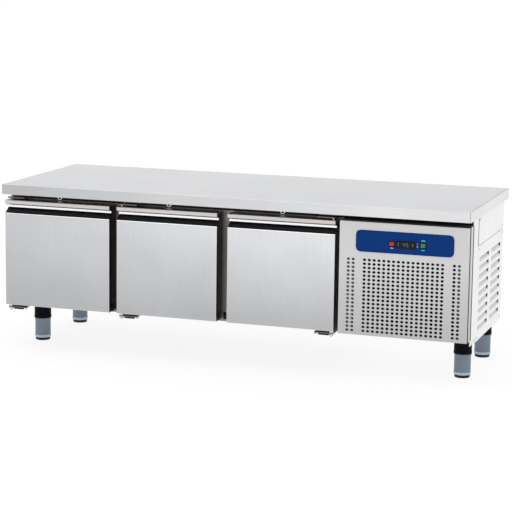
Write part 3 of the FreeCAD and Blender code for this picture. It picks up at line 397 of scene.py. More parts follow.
def brushed_steel(name, tint, roughness, grain, streak=0.04, clouds=0.04, painted_shading=None):
    """Ground sheet; streak and clouds are how far each noise changes the tint."""
    made, tree, shader = new_finish(name)
    scratches = stretched_noise(tree, grain, 2.0, 4.0)
    cloud = stretched_noise(tree, (1, 1, 1), 3.2, 2.0)
    change = streak + clouds
    share = worked(tree, "MULTIPLY", scratches, streak / change)
    rest = worked(tree, "MULTIPLY", cloud, clouds / change)
    factor = ranged(tree, worked(tree, "ADD", share, rest), 0, 1)
    fill(tree, shader, {
        "Metallic": 1.0, "Base Color": toned(tree, factor, tint, change, painted_shading),
        "Roughness": ranged(tree, scratches, roughness - 0.05, roughness + 0.07)})
    bumped(tree, shader, scratches, 0.12, 0.1 * MM)
    return made


print("brushed steel in three grains:", ALONG_X, UPRIGHT, ALONG_Y)

# %% The steels
def door_shade_ramp(tree):
    """Painted shade: the doors are painted darker towards the floor and towards the left end."""
    up = span_along(tree, "Z", 0.19, 0.47)
    along = worked(tree, "MULTIPLY", span_along(tree, "X", -0.86, 0.39), 0.66)
    return worked(tree, "MULTIPLY", up, worked(tree, "ADD", along, 0.34))


# Painted shade: the worktop's front edge is painted darker towards the left end.
def edge_shade_ramp(tree):
    return span_along(tree, "X", -0.86, 0.62)


# The door steel carries painted shade, darker low down and towards the left.
door_steel = brushed_steel("door_steel_upright_grain", (0.79, 0.80, 0.822), 0.38, UPRIGHT,
                           0.045, 0.05, (door_shade_ramp, 0.60))
# The folds get a brighter, glossier copy of the door steel: a painted highlight.
door_fold_highlight = brushed_steel("door_fold_painted_highlight", (0.95, 0.95, 0.95), 0.20, UPRIGHT, 0.02, 0.01)
door_side = brushed_steel("door_side_shadowed_steel", (0.085, 0.068, 0.062), 0.38, UPRIGHT)
# The pull is one steel strip: its nose is painted a darker, warmer grey, which is painted shade
# and reflection, and its lip near white, which is a painted highlight.
pull_steel = brushed_steel("pull_nose_steel", (0.63, 0.60, 0.585), 0.30, ALONG_X, 0.06, 0.04)
pull_lip_highlight = brushed_steel("pull_lip_painted_highlight", (0.94, 0.94, 0.94), 0.20, ALONG_X, 0.02, 0.01)
top_steel = brushed_steel("worktop_steel", (0.685, 0.69, 0.70), 0.44, ALONG_X, 0.02, 0.02)
# The front edge and the ends are the same sheet as the top, painted lighter and darkening to the
# left: painted light and shade.
edge_lit_and_shaded_steel = brushed_steel("worktop_edge_painted_light_and_shade", (0.76, 0.765, 0.775), 0.34, ALONG_X, 0.08, 0.03,
                           (edge_shade_ramp, 0.68))
weld_line = brushed_steel("worktop_weld_line", (0.10, 0.10, 0.10), 0.5, UPRIGHT)
cabinet_steel = brushed_steel("cabinet_sheet", (0.60, 0.60, 0.61), 0.42, ALONG_X)
frame_steel = brushed_steel("frame_sheet_shadowed", (0.26, 0.24, 0.23), 0.36, UPRIGHT)
# The brackets sit in shade by the doors; their steel is painted near black, which is painted
# shade.
bracket_steel_shadowed = brushed_steel("bracket_steel_shadowed", (0.17, 0.145, 0.14), 0.30, ALONG_X)
liner_steel = brushed_steel("liner_sheet", (0.74, 0.74, 0.75), 0.33, ALONG_Y)
print("steel finishes ready")

# %% [markdown]
# ## Finishes: paint, plastic, rubber and bright metal
# The cooling unit's panels are pale, matt and slightly dusty; the feet and the switch frames are
# moulded plastic with a fine orange-peel grain; the seals are rubber. Each finish is the same
# recipe with other numbers: a base colour with slow variation, a roughness that wanders, and a
# grain in the bump.

# %% Helpers: moulded and glowing finishes
def moulded(name, tint, roughness, grain_scale=900, depth=0.05, metallic=0.0, variation=0.06,
            gloss=0.5, painted_shading=None):
    """Paint, plastic, rubber or plate; variation is how far the noise changes the tint."""
    made, tree, shader = new_finish(name)
    grain = stretched_noise(tree, (1, 1, 1), grain_scale, 2.0)
    cloud = stretched_noise(tree, (1, 1, 1), 11, 3.0)
    factor = ranged(tree, cloud, 0, 1)
    fill(tree, shader, {
        "Metallic": metallic, "Specular IOR Level": gloss,
        "Base Color": toned(tree, factor, tint, variation, painted_shading),
        "Roughness": ranged(tree, cloud, roughness - 0.04, roughness + 0.05)})
    bumped(tree, shader, grain, 0.3, depth * MM)
    return made


def glowing(name, tint, glow):
    """Clear coloured plastic with a small lamp behind it; the printed marks use it too, and their
    glow is painted light.
    """
    made = moulded(name, tint, 0.3, 700, 0.02, gloss=0.2)
    fill(made.node_tree, made.node_tree.nodes["Principled BSDF"],
         {"Emission Color": (*tint, 1), "Emission Strength": glow})
    return made


print("moulded and glowing finishes can be made")

# %% Paint, plastic, rubber and plate
# Painted shade: the perforated panel is painted darker towards the floor.
def panel_shade_ramp(tree):
    return span_along(tree, "Z", 0.15, 0.42)


def louvre_shade_ramp(tree):
    """One on the outer face of the right-hand end, and nought on whatever lies further in, which
    gets painted shade.
    """
    return span_along(tree, "X", 0.8530, 0.8546)


panel_sheet = moulded("panel_matt_steel", (0.60, 0.60, 0.60), 0.5, 1400, 0.02, variation=0.02,
                      gloss=0.3, painted_shading=(panel_shade_ramp, 0.76))
# The side enamel is painted darker on the louvres and the frame behind them: painted shade.
side_paint = moulded("side_panel_enamel", (0.83, 0.825, 0.835), 0.45, 500, 0.03,
                     variation=0.02, gloss=0.3, painted_shading=(louvre_shade_ramp, 0.82))
black_plastic = moulded("black_plastic", (0.006, 0.006, 0.007), 0.42, gloss=0.15)
collar_plastic = moulded("collar_plastic", (0.003, 0.004, 0.008), 0.45, 600, 0.08, gloss=0.05)
foot_plastic = moulded("foot_grey_blue", (0.155, 0.19, 0.235), 0.40, 700, 0.06, variation=0.08,
                       gloss=0.3)
foot_ring = moulded("foot_light_ring", (0.36, 0.43, 0.50), 0.3, 700, 0.04)
# Dark lines at the side panels' edges: painted shade in the joints and a painted reflection on the
# corner fold.
seam_painted_shade = moulded("seam_painted_shade", (0.016, 0.008, 0.012), 0.6, 500, 0.05, gloss=0.15)
seal_rubber = moulded("seal_rubber", (0.03, 0.028, 0.027), 0.62, 500, 0.05, gloss=0.25)
pad_rubber = moulded("pad_rubber", (0.012, 0.013, 0.017), 0.6, 500, 0.08, gloss=0.2)
chrome = moulded("lock_chrome", (0.82, 0.82, 0.83), 0.10, 900, 0.004, metallic=1.0)
dark_slot = moulded("key_slot_dark", (0.05, 0.05, 0.05), 0.3, 900, 0.01, metallic=1.0)
zinc = moulded("zinc_screw", (0.62, 0.60, 0.58), 0.28, 600, 0.01, metallic=1.0)
wire_plate = moulded("shelf_wire", (0.76, 0.76, 0.76), 0.2, 500, 0.01, metallic=1.0)
fin_metal = moulded("coil_fins", (0.62, 0.64, 0.66), 0.35, 300, 0.04, metallic=1.0)
black_fins = moulded("condenser_black_fins", (0.012, 0.012, 0.012), 0.5, 300, 0.04, gloss=0.2)
copper = moulded("copper_pipe", (0.72, 0.38, 0.24), 0.28, 300, 0.02, metallic=1.0)
black_enamel = moulded("compressor_enamel", (0.010, 0.010, 0.011), 0.32, 200, 0.05)
fan_plastic = moulded("fan_plastic", (0.02, 0.02, 0.022), 0.4)
foam_yellow = moulded("rigid_foam", (0.66, 0.58, 0.36), 0.85, 220, 0.3)
particle_board = moulded("particle_board", (0.42, 0.31, 0.19), 0.8, 160, 0.2, variation=0.2)
liner_plastic = moulded("door_liner_plastic", (0.70, 0.71, 0.72), 0.4, 500, 0.03)
fascia_blue = moulded("fascia_blue_film", (0.0003, 0.032, 0.168), 0.45, 900, 0.01,
                      variation=0.03, gloss=0.08)
fascia_rim = moulded("fascia_rim_film", (0.80, 0.74, 0.72), 0.4, 900, 0.01, gloss=0.2)
window_smoke = moulded("display_window", (0.004, 0.004, 0.005), 0.2, 900, 0.002, gloss=0.25)
key_rubber = moulded("key_rubber", (0.08, 0.08, 0.085), 0.55, 900, 0.03, gloss=0.2)
rocker_red = glowing("rocker_red", (0.42, 0.03, 0.012), 0.12)
rocker_green = glowing("rocker_green", (0.03, 0.20, 0.06), 0.12)
# The printed marks have no lamp behind them: their glow is painted light.
mark_red = glowing("mark_red", (0.60, 0.03, 0.02), 0.15)
mark_blue = glowing("mark_light_blue", (0.12, 0.45, 0.75), 0.15)
mark_white = glowing("mark_white", (0.55, 0.58, 0.66), 0.1)
segment_pale = glowing("display_segment", (0.12, 0.22, 0.26), 0.15)
print(len(bpy.data.materials), "finishes")

# %% [markdown]
# ## Finishes on the parts that keep their shape
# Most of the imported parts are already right: bent sheets, coils, fans and shelves. They only
# need their finish. A list of pairs says which finish each gets.

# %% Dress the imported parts
def dress(finish, *names):
    for name in names:
        mesh = nodes[name].data
        mesh.materials.clear()
        mesh.materials.append(finish)


dress(cabinet_steel, "cabinet_shell", "rear_grille")
dress(frame_steel, "front_frame")
dress(bracket_steel_shadowed, "hinge_brackets")
dress(liner_steel, "inner_liner", "evaporator_cover", "shelf_runners")
dress(panel_sheet, "grille_panel")
dress(side_paint, "right_side_panel", "side_grille", "bay_frame")
dress(fascia_blue, "control_fascia")
dress(black_plastic, "controller_case", "switch_bezels", "cable_gland", "evaporation_tray")
dress(window_smoke, "controller_window")
dress(key_rubber, "key_left", "key_right")
dress(rocker_red, "power_rocker")
dress(rocker_green, "light_rocker")
dress(wire_plate, "wire_shelves")
dress(fin_metal, "evaporator_coil")
dress(black_fins, "condenser_coil")
dress(fan_plastic, "condenser_fan", "evaporator_fan")
dress(black_enamel, "compressor", "fan_shroud", "fan_motors")
dress(pad_rubber, "compressor_mounts")
dress(copper, "refrigerant_pipes")
dress(foam_yellow, "cabinet_foam", "door_1_foam", "door_2_foam", "door_3_foam")
dress(particle_board, "worktop_core")
dress(chrome, "lock_barrels")
dress(dark_slot, "lock_plug_1", "lock_plug_2", "lock_plug_3")
dress(zinc, "panel_screws")
print("packed parts dressed")

# %% [markdown]
# ## The worktop
# The top is one sheet folded down over a board. It could be a plain box, but the light catches
# its folds, so the box gets rounded folds and a recess underneath where the sheet ends. Two cuts
# with bisect mark the narrow weld line beside the right-hand end, which gets a dark finish.

# %% Worktop
TOP_FOLD, TOP_RETURN, TOP_SHEET = 2.2 * MM, 60 * MM, 1.2 * MM
WELD_PLACE, WELD_WIDE = 2.6 * MM, 1.1 * MM


def worktop():
    low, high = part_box("worktop_skin")
    piece = block("worktop_sheet", low, high)
    edit(piece)
    pick_faces(piece, facing("z", -1))
    bpy.ops.mesh.inset(thickness=TOP_RETURN)
    push((0, 0, TOP_SHEET))
    pick_edges(piece, lambda a, b: (near(a.z, b.z) and near(a.z, high.z)) or
               (near(a.x, b.x) and near(a.y, b.y) and abs(a.z - b.z) > 10 * MM))
    round_off(TOP_FOLD, 5)
    for place in (high.x - WELD_PLACE, high.x - WELD_PLACE - WELD_WIDE):
        cut_across((place, 0, 0), (1, 0, 0))
    leave_edit()
    smooth(piece)
    weld_middle = high.x - WELD_PLACE - WELD_WIDE / 2

    def part_of_top(face):
        if abs(face.center.x - weld_middle) < WELD_WIDE / 2 and face.center.z > low.z + 1 * MM:
            return 2
        # Front edge and ends take the edge steel with its painted light and shade.
        return int(abs(face.normal.y) > 0.9 or abs(face.normal.x) > 0.9)

    paint(piece, (top_steel, edge_lit_and_shaded_steel, weld_line), part_of_top)
    return ready(piece, "cabinet", None, ["worktop_skin"])


worktop()

# %% [markdown]
# ## The door fronts
# Each door is a shallow steel tray. Near its top the face folds back into a sloping recess, where
# the fingers go in under the pull. A box is cut across with bisect, its rear part is extruded up
# for the back wall of the recess, and the edge between is lifted to make the slope. The folds
# are bevelled, and the faces get four finishes: the ground face with painted shade low down and
# to the left, the folds in a brighter steel that is a painted highlight, the sides in a dark steel
# that is painted shadow, and black in the recess, which is painted shade.

# %% Door fronts
FOLD, DOOR_SHEET = 1.6 * MM, 1.1 * MM
RECESS_DEEP, RECESS_DROP, SLOPE_RISE = 42 * MM, 21 * MM, 27 * MM


def door_front(number):
    tag = f"door_{number}"
    skin_low, skin_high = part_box(f"{tag}_skin")
    pull_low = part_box(f"{tag}_handle")[0]
    face_top = pull_low.z - RECESS_DROP
    wall_y = skin_low.y + RECESS_DEEP
    piece = block(f"{tag}_front", skin_low, (skin_high.x, skin_high.y, face_top))
    edit(piece)
    cut_across((0, wall_y, 0), (0, 1, 0))
    pick_faces(piece, lambda centre, normal: normal.z > 0.9 and centre.y > wall_y)
    push((0, 0, skin_high.z - face_top))
    pick_edges(piece, lambda a, b: near(a.y, wall_y) and near(b.y, wall_y)
               and near(a.z, face_top) and near(b.z, face_top))
    bpy.ops.transform.translate(value=(0, 0, SLOPE_RISE))
    pick_faces(piece, facing("y"))
    bpy.ops.mesh.delete(type="FACE")
    pick_edges(piece, lambda a, b: near(a.y, skin_low.y) and near(b.y, skin_low.y))
    round_off(FOLD, 4)
    leave_edit()
    modify(piece, "SOLIDIFY", thickness=DOOR_SHEET, offset=-1, use_even_offset=True)
    smooth(piece, 30)

    def part_of_front(face):
        centre, normal = face.center, face.normal
        if abs(normal.x) > 0.95 or normal.z < -0.95:
            return 2
        # The recess is part of the steel sheet; black plastic there is painted shade.
        if centre.y > skin_low.y + FOLD and centre.z > face_top - 1 * MM:
            return 3
        return int(normal.y > -0.98 and centre.y < skin_low.y + FOLD)

    # Folds: painted highlight; sides: painted shadow; recess: painted shade.
    paint(piece, (door_steel, door_fold_highlight, door_side, black_plastic), part_of_front)
    return ready(piece, tag, None, [f"{tag}_skin"])


for number in (1, 2, 3):
    front = door_front(number)
    print(front.name, len(front.data.polygons), "faces")

# %% [markdown]
# ## The finger pulls
# The pull is a steel strip folded along its length: a flat top, a rounded nose, a step back and
# a lip that hangs in front of the recess. It is drawn as a chain of edges from the side, each
# extruded from the last, and the chain is then extruded along the door. The folds are bevelled,
# and Solidify gives the strip its thickness. Black end caps close the recess at both ends.

# %% Pulls
SHEET = 1.5 * MM
NOSE_TALL, LIP_BACK, LIP_DROP = 16 * MM, 20 * MM, 19 * MM
NOSE_RADIUS, LIP_RADIUS = 6.5 * MM, 3 * MM


def pull_chain(low, high):
    """The strip's side view, from the top of the back web to the foot of the lip: (y, z)."""
    return [(high.y, high.z), (low.y, high.z), (low.y, high.z - NOSE_TALL),
            (low.y + LIP_BACK, high.z - LIP_DROP), (low.y + LIP_BACK, low.z)]


def door_pull(number):
    tag = f"door_{number}"
    low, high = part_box(f"{tag}_handle")
    chain = pull_chain(low, high)
    clear_selection()
    bpy.ops.mesh.primitive_plane_add(size=1, location=(0, 0, 0))
    piece = bpy.context.object
    piece.name = f"{tag}_pull"
    edit(piece)
    bpy.ops.mesh.select_all(action="SELECT")
    bpy.ops.mesh.merge(type="CENTER")
    bpy.ops.mesh.select_mode(type="VERT")
    bpy.ops.mesh.select_all(action="SELECT")
    bpy.ops.transform.translate(value=(low.x, *chain[0]))
    for before, after in zip(chain, chain[1:]):
        step = (0, after[0] - before[0], after[1] - before[1])
        push(step)
    bpy.ops.mesh.select_all(action="SELECT")
    push((high.x - low.x, 0, 0))
    for corners, radius in ((chain[1:3], NOSE_RADIUS), (chain[3:4], LIP_RADIUS)):
        pick_edges(piece, lambda a, b: abs(a.x - b.x) > 0.1 and any(
            near(a.y, y) and near(a.z, z) for y, z in corners))
        round_off(radius, 7)
    turn_outward()
    leave_edit()
    inward = -1 if max(piece.data.polygons, key=lambda f: f.center.z).normal.z > 0 else 1
    modify(piece, "SOLIDIFY", thickness=SHEET, offset=inward, use_even_offset=True)
    smooth(piece, 30)
    nose_foot = high.z - NOSE_TALL - 1 * MM
    # Nose in painted shade and reflection, lip in a painted highlight.
    paint(piece, (pull_steel, pull_lip_highlight), lambda face: int(face.center.z < nose_foot))
    return ready(piece, tag, None, [f"{tag}_handle"])


# %% End caps
CAP_THICK = 1.2 * MM


def end_caps(number):
    """Thin black plates that follow the pull's outline and close the finger recess."""
    tag = f"door_{number}"
    low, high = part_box(f"{tag}_handle")
    front, back = low.y + 1 * MM, high.y - 7 * MM
    caps = []
    for x in (low.x, high.x - CAP_THICK):
        cap = block("cap", (x, front, high.z - 15 * MM), (x + CAP_THICK, back, high.z - SHEET))
        edit(cap)
        pick_edges(cap, lambda a, b: near(a.y, front) and near(b.y, front)
                   and abs(a.x - b.x) > 0.5 * MM)
        round_off(6 * MM, 5)
        pick_faces(cap, lambda centre, normal: normal.z < -0.99)
        push((0, 0, -13 * MM))
        bpy.ops.transform.translate(value=(0, 9 * MM, 0))
        bpy.ops.transform.resize(value=(1, 0.35, 1), center_override=(x, back, 0))
        caps.append(cap)
    piece = joined(f"{tag}_pull_caps", caps)
    smooth(piece)
    return ready(piece, tag, black_plastic)


for number in (1, 2, 3):
    pull, caps = door_pull(number), end_caps(number)
    print(pull.name, len(pull.data.polygons), "faces;", caps.name, len(caps.data.polygons))

# %% [markdown]
# ## Inner door panels and magnetic seals
# The inside of a door is a thin pressed plastic panel, raised in the middle so that it stiffens
# and clears the seal around it. A slab gets its raised centre from two insets and an extrusion.
# The seal is a soft bellows: a flat ring is extruded in four steps, and the loops between are
# pulled in by turns, which makes the folds that let it squash.

# %% Inner panels
PANEL_RISE, PANEL_DISH = 7 * MM, 3 * MM
PANEL_EDGE, PANEL_BORDER = 30 * MM, 26 * MM


def inner_panel(number):
    tag = f"door_{number}"
    low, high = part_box(f"{tag}_liner")
    piece = block(f"{tag}_inner_panel", low, high)
    edit(piece)
    pick_faces(piece, facing("y"))
    bpy.ops.mesh.inset(thickness=PANEL_EDGE)
    push((0, PANEL_RISE, 0))
    bpy.ops.mesh.inset(thickness=PANEL_BORDER)
    push((0, -PANEL_DISH, 0))
    leave_edit()
    soften(piece, 2.2 * MM, 3)
    return ready(piece, tag, liner_plastic, [f"{tag}_liner"])


for number in (1, 2, 3):
    panel = inner_panel(number)
    print(panel.name, [round(v, 3) for v in panel.dimensions])

# %% Seals
SEAL_WIDTH = 11 * MM
SEAL_STEPS = (1.6 * MM, 2.4 * MM, 2.4 * MM, 3.6 * MM)


def door_seal(number):
    tag = f"door_{number}"
    low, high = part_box(f"{tag}_gasket")
    piece = block(f"{tag}_seal", low, (high.x, low.y + SEAL_STEPS[0], high.z))
    edit(piece)
    pick_faces(piece, lambda centre, normal: abs(normal.y) > 0.9)
    bpy.ops.mesh.inset(thickness=SEAL_WIDTH)
    bpy.ops.mesh.delete(type="FACE")
    pick_edges(piece, lambda a, b: all(low.x + 1 * MM < p.x < high.x - 1 * MM for p in (a, b))
               and near(a.y, b.y))
    bpy.ops.mesh.bridge_edge_loops()
    for step in SEAL_STEPS[1:]:
        pick_faces(piece, facing("y"))
        push((0, step, 0))
    folds = low.y + sum(SEAL_STEPS[:2])
    pick_edges(piece, lambda a, b: near(a.y, folds) and near(b.y, folds))
    bpy.ops.transform.shrink_fatten(value=-1.8 * MM)
    pick_edges(piece, lambda a, b: near(a.y, high.y) and near(b.y, high.y))
    round_off(1.2 * MM, 3)
    leave_edit()
    smooth(piece, 50)
    return ready(piece, tag, seal_rubber, [f"{tag}_gasket"])


for number in (1, 2, 3):
    seal = door_seal(number)
    print(seal.name, len(seal.data.polygons), "faces")

# %% [markdown]
# ## Turned pieces
# Feet, collars, lock rings, screws and the cable gland are all round. A lathe shape can be made
# by spinning an outline, but a disc that is extruded step by step, and scaled after each step,
# gives the same shape and is easy to read: each step is a radius and a place along the axis.

# %% A helper for turned pieces
def turned(name, axis, centre, steps, sides=48):
    clear_selection()
    bpy.ops.mesh.primitive_circle_add(vertices=sides, radius=steps[0][0], fill_type="NGON",
                                      location=(0, 0, steps[0][1]))
    piece = bpy.context.object
    piece.name = name
    apply_place(piece)
    edit(piece)
    bpy.ops.mesh.select_mode(type="FACE")
    bpy.ops.mesh.select_all(action="SELECT")
    for (before, start), (after, end) in zip(steps, steps[1:]):
        step = (0, 0, end - start)
        push(step)
        bpy.ops.transform.resize(value=(after / before, after / before, 1))
    turn_outward()
    leave_edit()
    piece.rotation_euler = TURNS[axis]
    piece.location = centre
    apply_place(piece)
    return piece


print("turned pieces ready")

# %% [markdown]
# ## Levelling feet
# Each foot is a thick plastic leg with a lighter ring near its base and a rubber pad. It slides
# up into a black collar under the cabinet. The collar is a cup: its open end is left without a
# face, and Solidify gives it a wall, so the leg really goes in.

# %% Feet and collars
FEET = ("front_left", "front_right", "rear_left", "rear_right")


def foot(corner):
    low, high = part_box(f"foot_{corner}")
    middle = ((low.x + high.x) / 2, (low.y + high.y) / 2, 0)
    radius = (high.x - low.x) / 2
    steps = [(radius * 0.86, 0), (radius * 0.9, 1.5 * MM), (radius * 0.9, 9 * MM),
             (radius * 0.93, 10 * MM), (radius * 0.99, 11 * MM), (radius, 13 * MM),
             (radius, 20 * MM), (radius * 0.965, 21.5 * MM), (radius * 0.965, 76 * MM),
             (radius, 78 * MM), (radius, high.z - 2 * MM), (radius * 0.93, high.z)]
    piece = turned(f"foot_{corner}_leg", "Z", middle, steps, 64)

    def part_of_foot(face):
        if face.center.z < 9.5 * MM:
            return 2
        return int(11 * MM < face.center.z < 20.5 * MM)

    paint(piece, (foot_plastic, foot_ring, pad_rubber), part_of_foot)
    smooth(piece, 40)
    return ready(piece, f"foot_{corner}", None, [f"foot_{corner}"])


def foot_collar(corner):
    low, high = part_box(f"foot_{corner}")
    collar_low, collar_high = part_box("foot_collars")
    middle = ((low.x + high.x) / 2, (low.y + high.y) / 2, 0)
    gap = low.x - collar_low.x if "left" in corner else collar_high.x - high.x
    radius = gap + (high.x - low.x) / 2
    bottom, top = collar_low.z, collar_high.z
    steps = [(radius - 0.7 * MM, bottom), (radius, bottom + 1 * MM), (radius, bottom + 9 * MM),
             (radius - 0.8 * MM, bottom + 10 * MM), (radius - 0.8 * MM, top - 10 * MM),
             (radius, top - 9 * MM), (radius, top)]
    piece = turned("collar", "Z", middle, steps, 64)
    edit(piece)
    pick_faces(piece, lambda centre, normal: near(centre.z, bottom) and normal.z < -0.9)
    bpy.ops.mesh.delete(type="FACE")
    leave_edit()
    modify(piece, "SOLIDIFY", thickness=0.9 * MM, offset=-1)
    return piece


for corner in FEET:
    print(foot(corner).name)
collars = joined("foot_collar_set", [foot_collar(corner) for corner in FEET])
smooth(collars, 40)
ready(collars, "cabinet", collar_plastic, ["foot_collars"])
print("collars", len(collars.data.polygons), "faces")

# %% [markdown]
# ## Locks, screws and the cable gland
# A lock shows a chrome ring with rounded edges around its keyway. The panel screws have low
# domed heads with a socket. The gland is a hexagon nut under a rounded cap with a hole for the
# cable. All of them are turned, and only the nut starts from a six-sided bar.

# %% Lock rings
def lock_ring(number):
    low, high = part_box(f"lock_plug_{number}")
    ring_low, ring_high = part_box("lock_barrels")
    radius = (ring_high.z - ring_low.z) / 2
    bore = (high.z - low.z) / 2 + 0.08 * MM
    front, back = ring_low.y, ring_high.y
    flange = front + 8 * MM
    steps = [(radius * 0.8, back), (radius * 0.8, flange), (radius, flange),
             (radius, front + 2 * MM), (radius * 0.93, front + 0.7 * MM), (radius * 0.82, front),
             (bore, front), (bore, high.y + 0.2 * MM)]
    middle = ((low.x + high.x) / 2, 0, (low.z + high.z) / 2)
    return turned("ring", "Y", middle, steps, 40)


rings = joined("lock_rings", [lock_ring(number) for number in (1, 2, 3)])
smooth(rings, 30)
ready(rings, "cabinet", chrome, ["lock_barrels"])
print("lock rings", [round(v, 4) for v in rings.dimensions])

# %% Panel screws
def screw(axis, place, surface):
    """A pan head with a socket; surface is where the sheet's outer face is along the axis."""
    steps = [(1.8 * MM, surface - 6 * MM), (1.8 * MM, surface), (4.5 * MM, surface),
             (4.4 * MM, surface + 0.9 * MM), (3.6 * MM, surface + 1.6 * MM),
             (2.2 * MM, surface + 1.95 * MM), (1.5 * MM, surface + 1.95 * MM),
             (1.1 * MM, surface + 0.5 * MM)]
    return turned("screw", axis, place, steps, 20)


upper_low, upper_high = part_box("right_side_panel")
lower_low, lower_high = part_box("side_grille")
back_low, back_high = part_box("rear_grille")
INSET, DROP, RISE = 16 * MM, 12 * MM, 22 * MM
front_line, back_line = upper_low.y + INSET, upper_high.y - INSET
side_places = [(front_line, lower_high.z - DROP), (back_line, lower_high.z - DROP),
               (front_line, lower_low.z + DROP), (back_line, lower_low.z + DROP),
               (back_line, upper_low.z + DROP), (front_line, upper_high.z - DROP)]
rear_lines = (back_low.x + INSET, back_high.x + 2 * MM - INSET)
screws = [screw("X", (0, y, z), upper_high.x) for y, z in side_places]
screws += [screw("Y", (x, 0, z), back_high.y) for x in rear_lines
           for z in (back_low.z - 2 * MM + RISE, back_high.z - RISE)]
screw_set = joined("panel_screw_set", screws)
smooth(screw_set, 30)
ready(screw_set, "cabinet", zinc, ["panel_screws"])
print(len(screws), "screws")

# %% Cable gland
gland_low, gland_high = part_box("cable_gland")
gland_middle = ((gland_low.x + gland_high.x) / 2, 0, (gland_low.z + gland_high.z) / 2)
wall, tip = gland_low.y, gland_high.y
gland_radius = (gland_high.x - gland_low.x) / 2
nut = turned("nut", "Y", gland_middle,
             [(gland_radius * 0.9, wall), (gland_radius, wall + 0.8 * MM),
              (gland_radius, wall + 6 * MM), (gland_radius * 0.92, wall + 7 * MM)], 6)
cap = turned("cap", "Y", gland_middle,
             [(gland_radius * 0.84, wall + 5 * MM), (gland_radius * 0.84, tip - 6 * MM),
              (gland_radius * 0.76, tip - 2.5 * MM), (gland_radius * 0.6, tip - 0.4 * MM),
              (gland_radius * 0.55, tip), (5 * MM, tip), (5 * MM, wall + 7.5 * MM)], 40)
gland = joined("cable_gland_nut", [nut, cap])
smooth(gland, 35)
ready(gland, "cabinet", black_plastic, ["cable_gland"])
print("gland", [round(v, 4) for v in gland.dimensions])

# %% [markdown]
# ## Hinge brackets
# A door hangs between two steel plates. The upper one is an angle: a slab is cut with bisect,
# and its rear strip is extruded up into a leg. Their outer corners are rounded in plan, as
# stamped parts are.

# %% Brackets
BRACKET_LONG, BRACKET_EDGE, BRACKET_THICK, BRACKET_DEEP = 70 * MM, 3 * MM, 4 * MM, 80 * MM
HEAD_GAP, LEG_RISE = 5 * MM, 11 * MM
plates_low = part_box("hinge_brackets")[0]


def bracket_ends(number):
    """Doors 1 and 2 hang at their left end, door 3 at its right end."""
    low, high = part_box(f"door_{number}_skin")
    if number < 3:
        return low.x + BRACKET_EDGE, low.x + BRACKET_EDGE + BRACKET_LONG
    return high.x - BRACKET_EDGE - BRACKET_LONG, high.x - BRACKET_EDGE


def round_nose(piece, front):
    pick_edges(piece, lambda a, b: near(a.y, front) and near(b.y, front)
               and abs(a.z - b.z) > 1 * MM)
    round_off(6 * MM, 5)


def upper_bracket(number):
    left, right = bracket_ends(number)
    front, back = plates_low.y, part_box("front_frame")[0].y
    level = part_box(f"door_{number}_handle")[1].z + HEAD_GAP
    leg = back - BRACKET_THICK
    piece = block("bracket", (left, front, level), (right, back, level + BRACKET_THICK))
    edit(piece)
    cut_across((0, leg, 0), (0, 1, 0))
    pick_faces(piece, lambda centre, normal: normal.z > 0.9 and centre.y > leg)
    push((0, 0, LEG_RISE))
    round_nose(piece, front)
    leave_edit()
    return piece


def lower_bracket(number):
    left, right = bracket_ends(number)
    piece = block("bracket", (left, plates_low.y, plates_low.z),
                  (right, plates_low.y + BRACKET_DEEP, plates_low.z + BRACKET_THICK))
    edit(piece)
    round_nose(piece, plates_low.y)
    leave_edit()
    return piece


plates = [make(number) for make in (upper_bracket, lower_bracket) for number in (1, 2, 3)]
for plate in plates:
    soften(plate, 0.4 * MM)
brackets = joined("hinge_bracket_set", plates)
ready(brackets, "cabinet", bracket_steel_shadowed, ["hinge_brackets"])
dress(zinc, "hinge_pins")
print(len(plates), "brackets")

# %% Hinge bolts and closing springs
PIN_INSET, BOLT_REACH, SPRING_SPAN = 9 * MM, 58 * MM, (9 * MM, 48 * MM)


def hinge_hardware(number):
    """Under the lower plate: the pin's nut, the closing spring's tube, and its end bolt."""
    left, right = bracket_ends(number)
    way, pin_x = (1, left + PIN_INSET) if number < 3 else (-1, right - PIN_INSET)
    under, line_y = plates_low.z, plates_low.y + 8 * MM
    nut = turned("nut", "Z", (pin_x, line_y, 0),
                 [(6.6 * MM, under), (7.4 * MM, under - 1 * MM), (7.4 * MM, under - 7 * MM),
                  (6.4 * MM, under - 8 * MM), (4.2 * MM, under - 8 * MM),
                  (4.0 * MM, under - 11 * MM)], 6)
    bolt = turned("bolt", "Z", (pin_x + way * BOLT_REACH, line_y + 4 * MM, 0),
                  [(5.4 * MM, under), (6.0 * MM, under - 0.8 * MM),
                   (6.0 * MM, under - 4.5 * MM), (5.0 * MM, under - 5.5 * MM)], 6)
    start, end = sorted(way * reach for reach in SPRING_SPAN)
    tube = turned("tube", "X", (pin_x, line_y + 4 * MM, under - 4 * MM),
                  [(2.6 * MM, start), (4 * MM, start + 1.2 * MM),
                   (4 * MM, end - 1.2 * MM), (2.6 * MM, end)], 24)
    return [nut, bolt], tube


bright, dark_tubes = [], []
for number in (1, 2, 3):
    pair, tube = hinge_hardware(number)
    bright += pair
    dark_tubes.append(tube)
bolts = joined("hinge_bolts", bright)
smooth(bolts, 30)
ready(bolts, "cabinet", zinc)
springs = joined("hinge_spring_tubes", dark_tubes)
smooth(springs, 40)
ready(springs, "cabinet", black_plastic)
print("hinge hardware under", len(dark_tubes), "doors")

# %% [markdown]
# ## The control fascia
# A blue plate carries the thermostat and two rocker switches. Its printed film has a thin pale
# border, and small coloured marks stand beside the switches. The border is a rounded plate with
# its middle taken out. The marks are thin raised pads, which is how thick screen print looks.

# %% Border
def across_edges(a, b):
    return abs(a.y - b.y) > 0.2 * MM


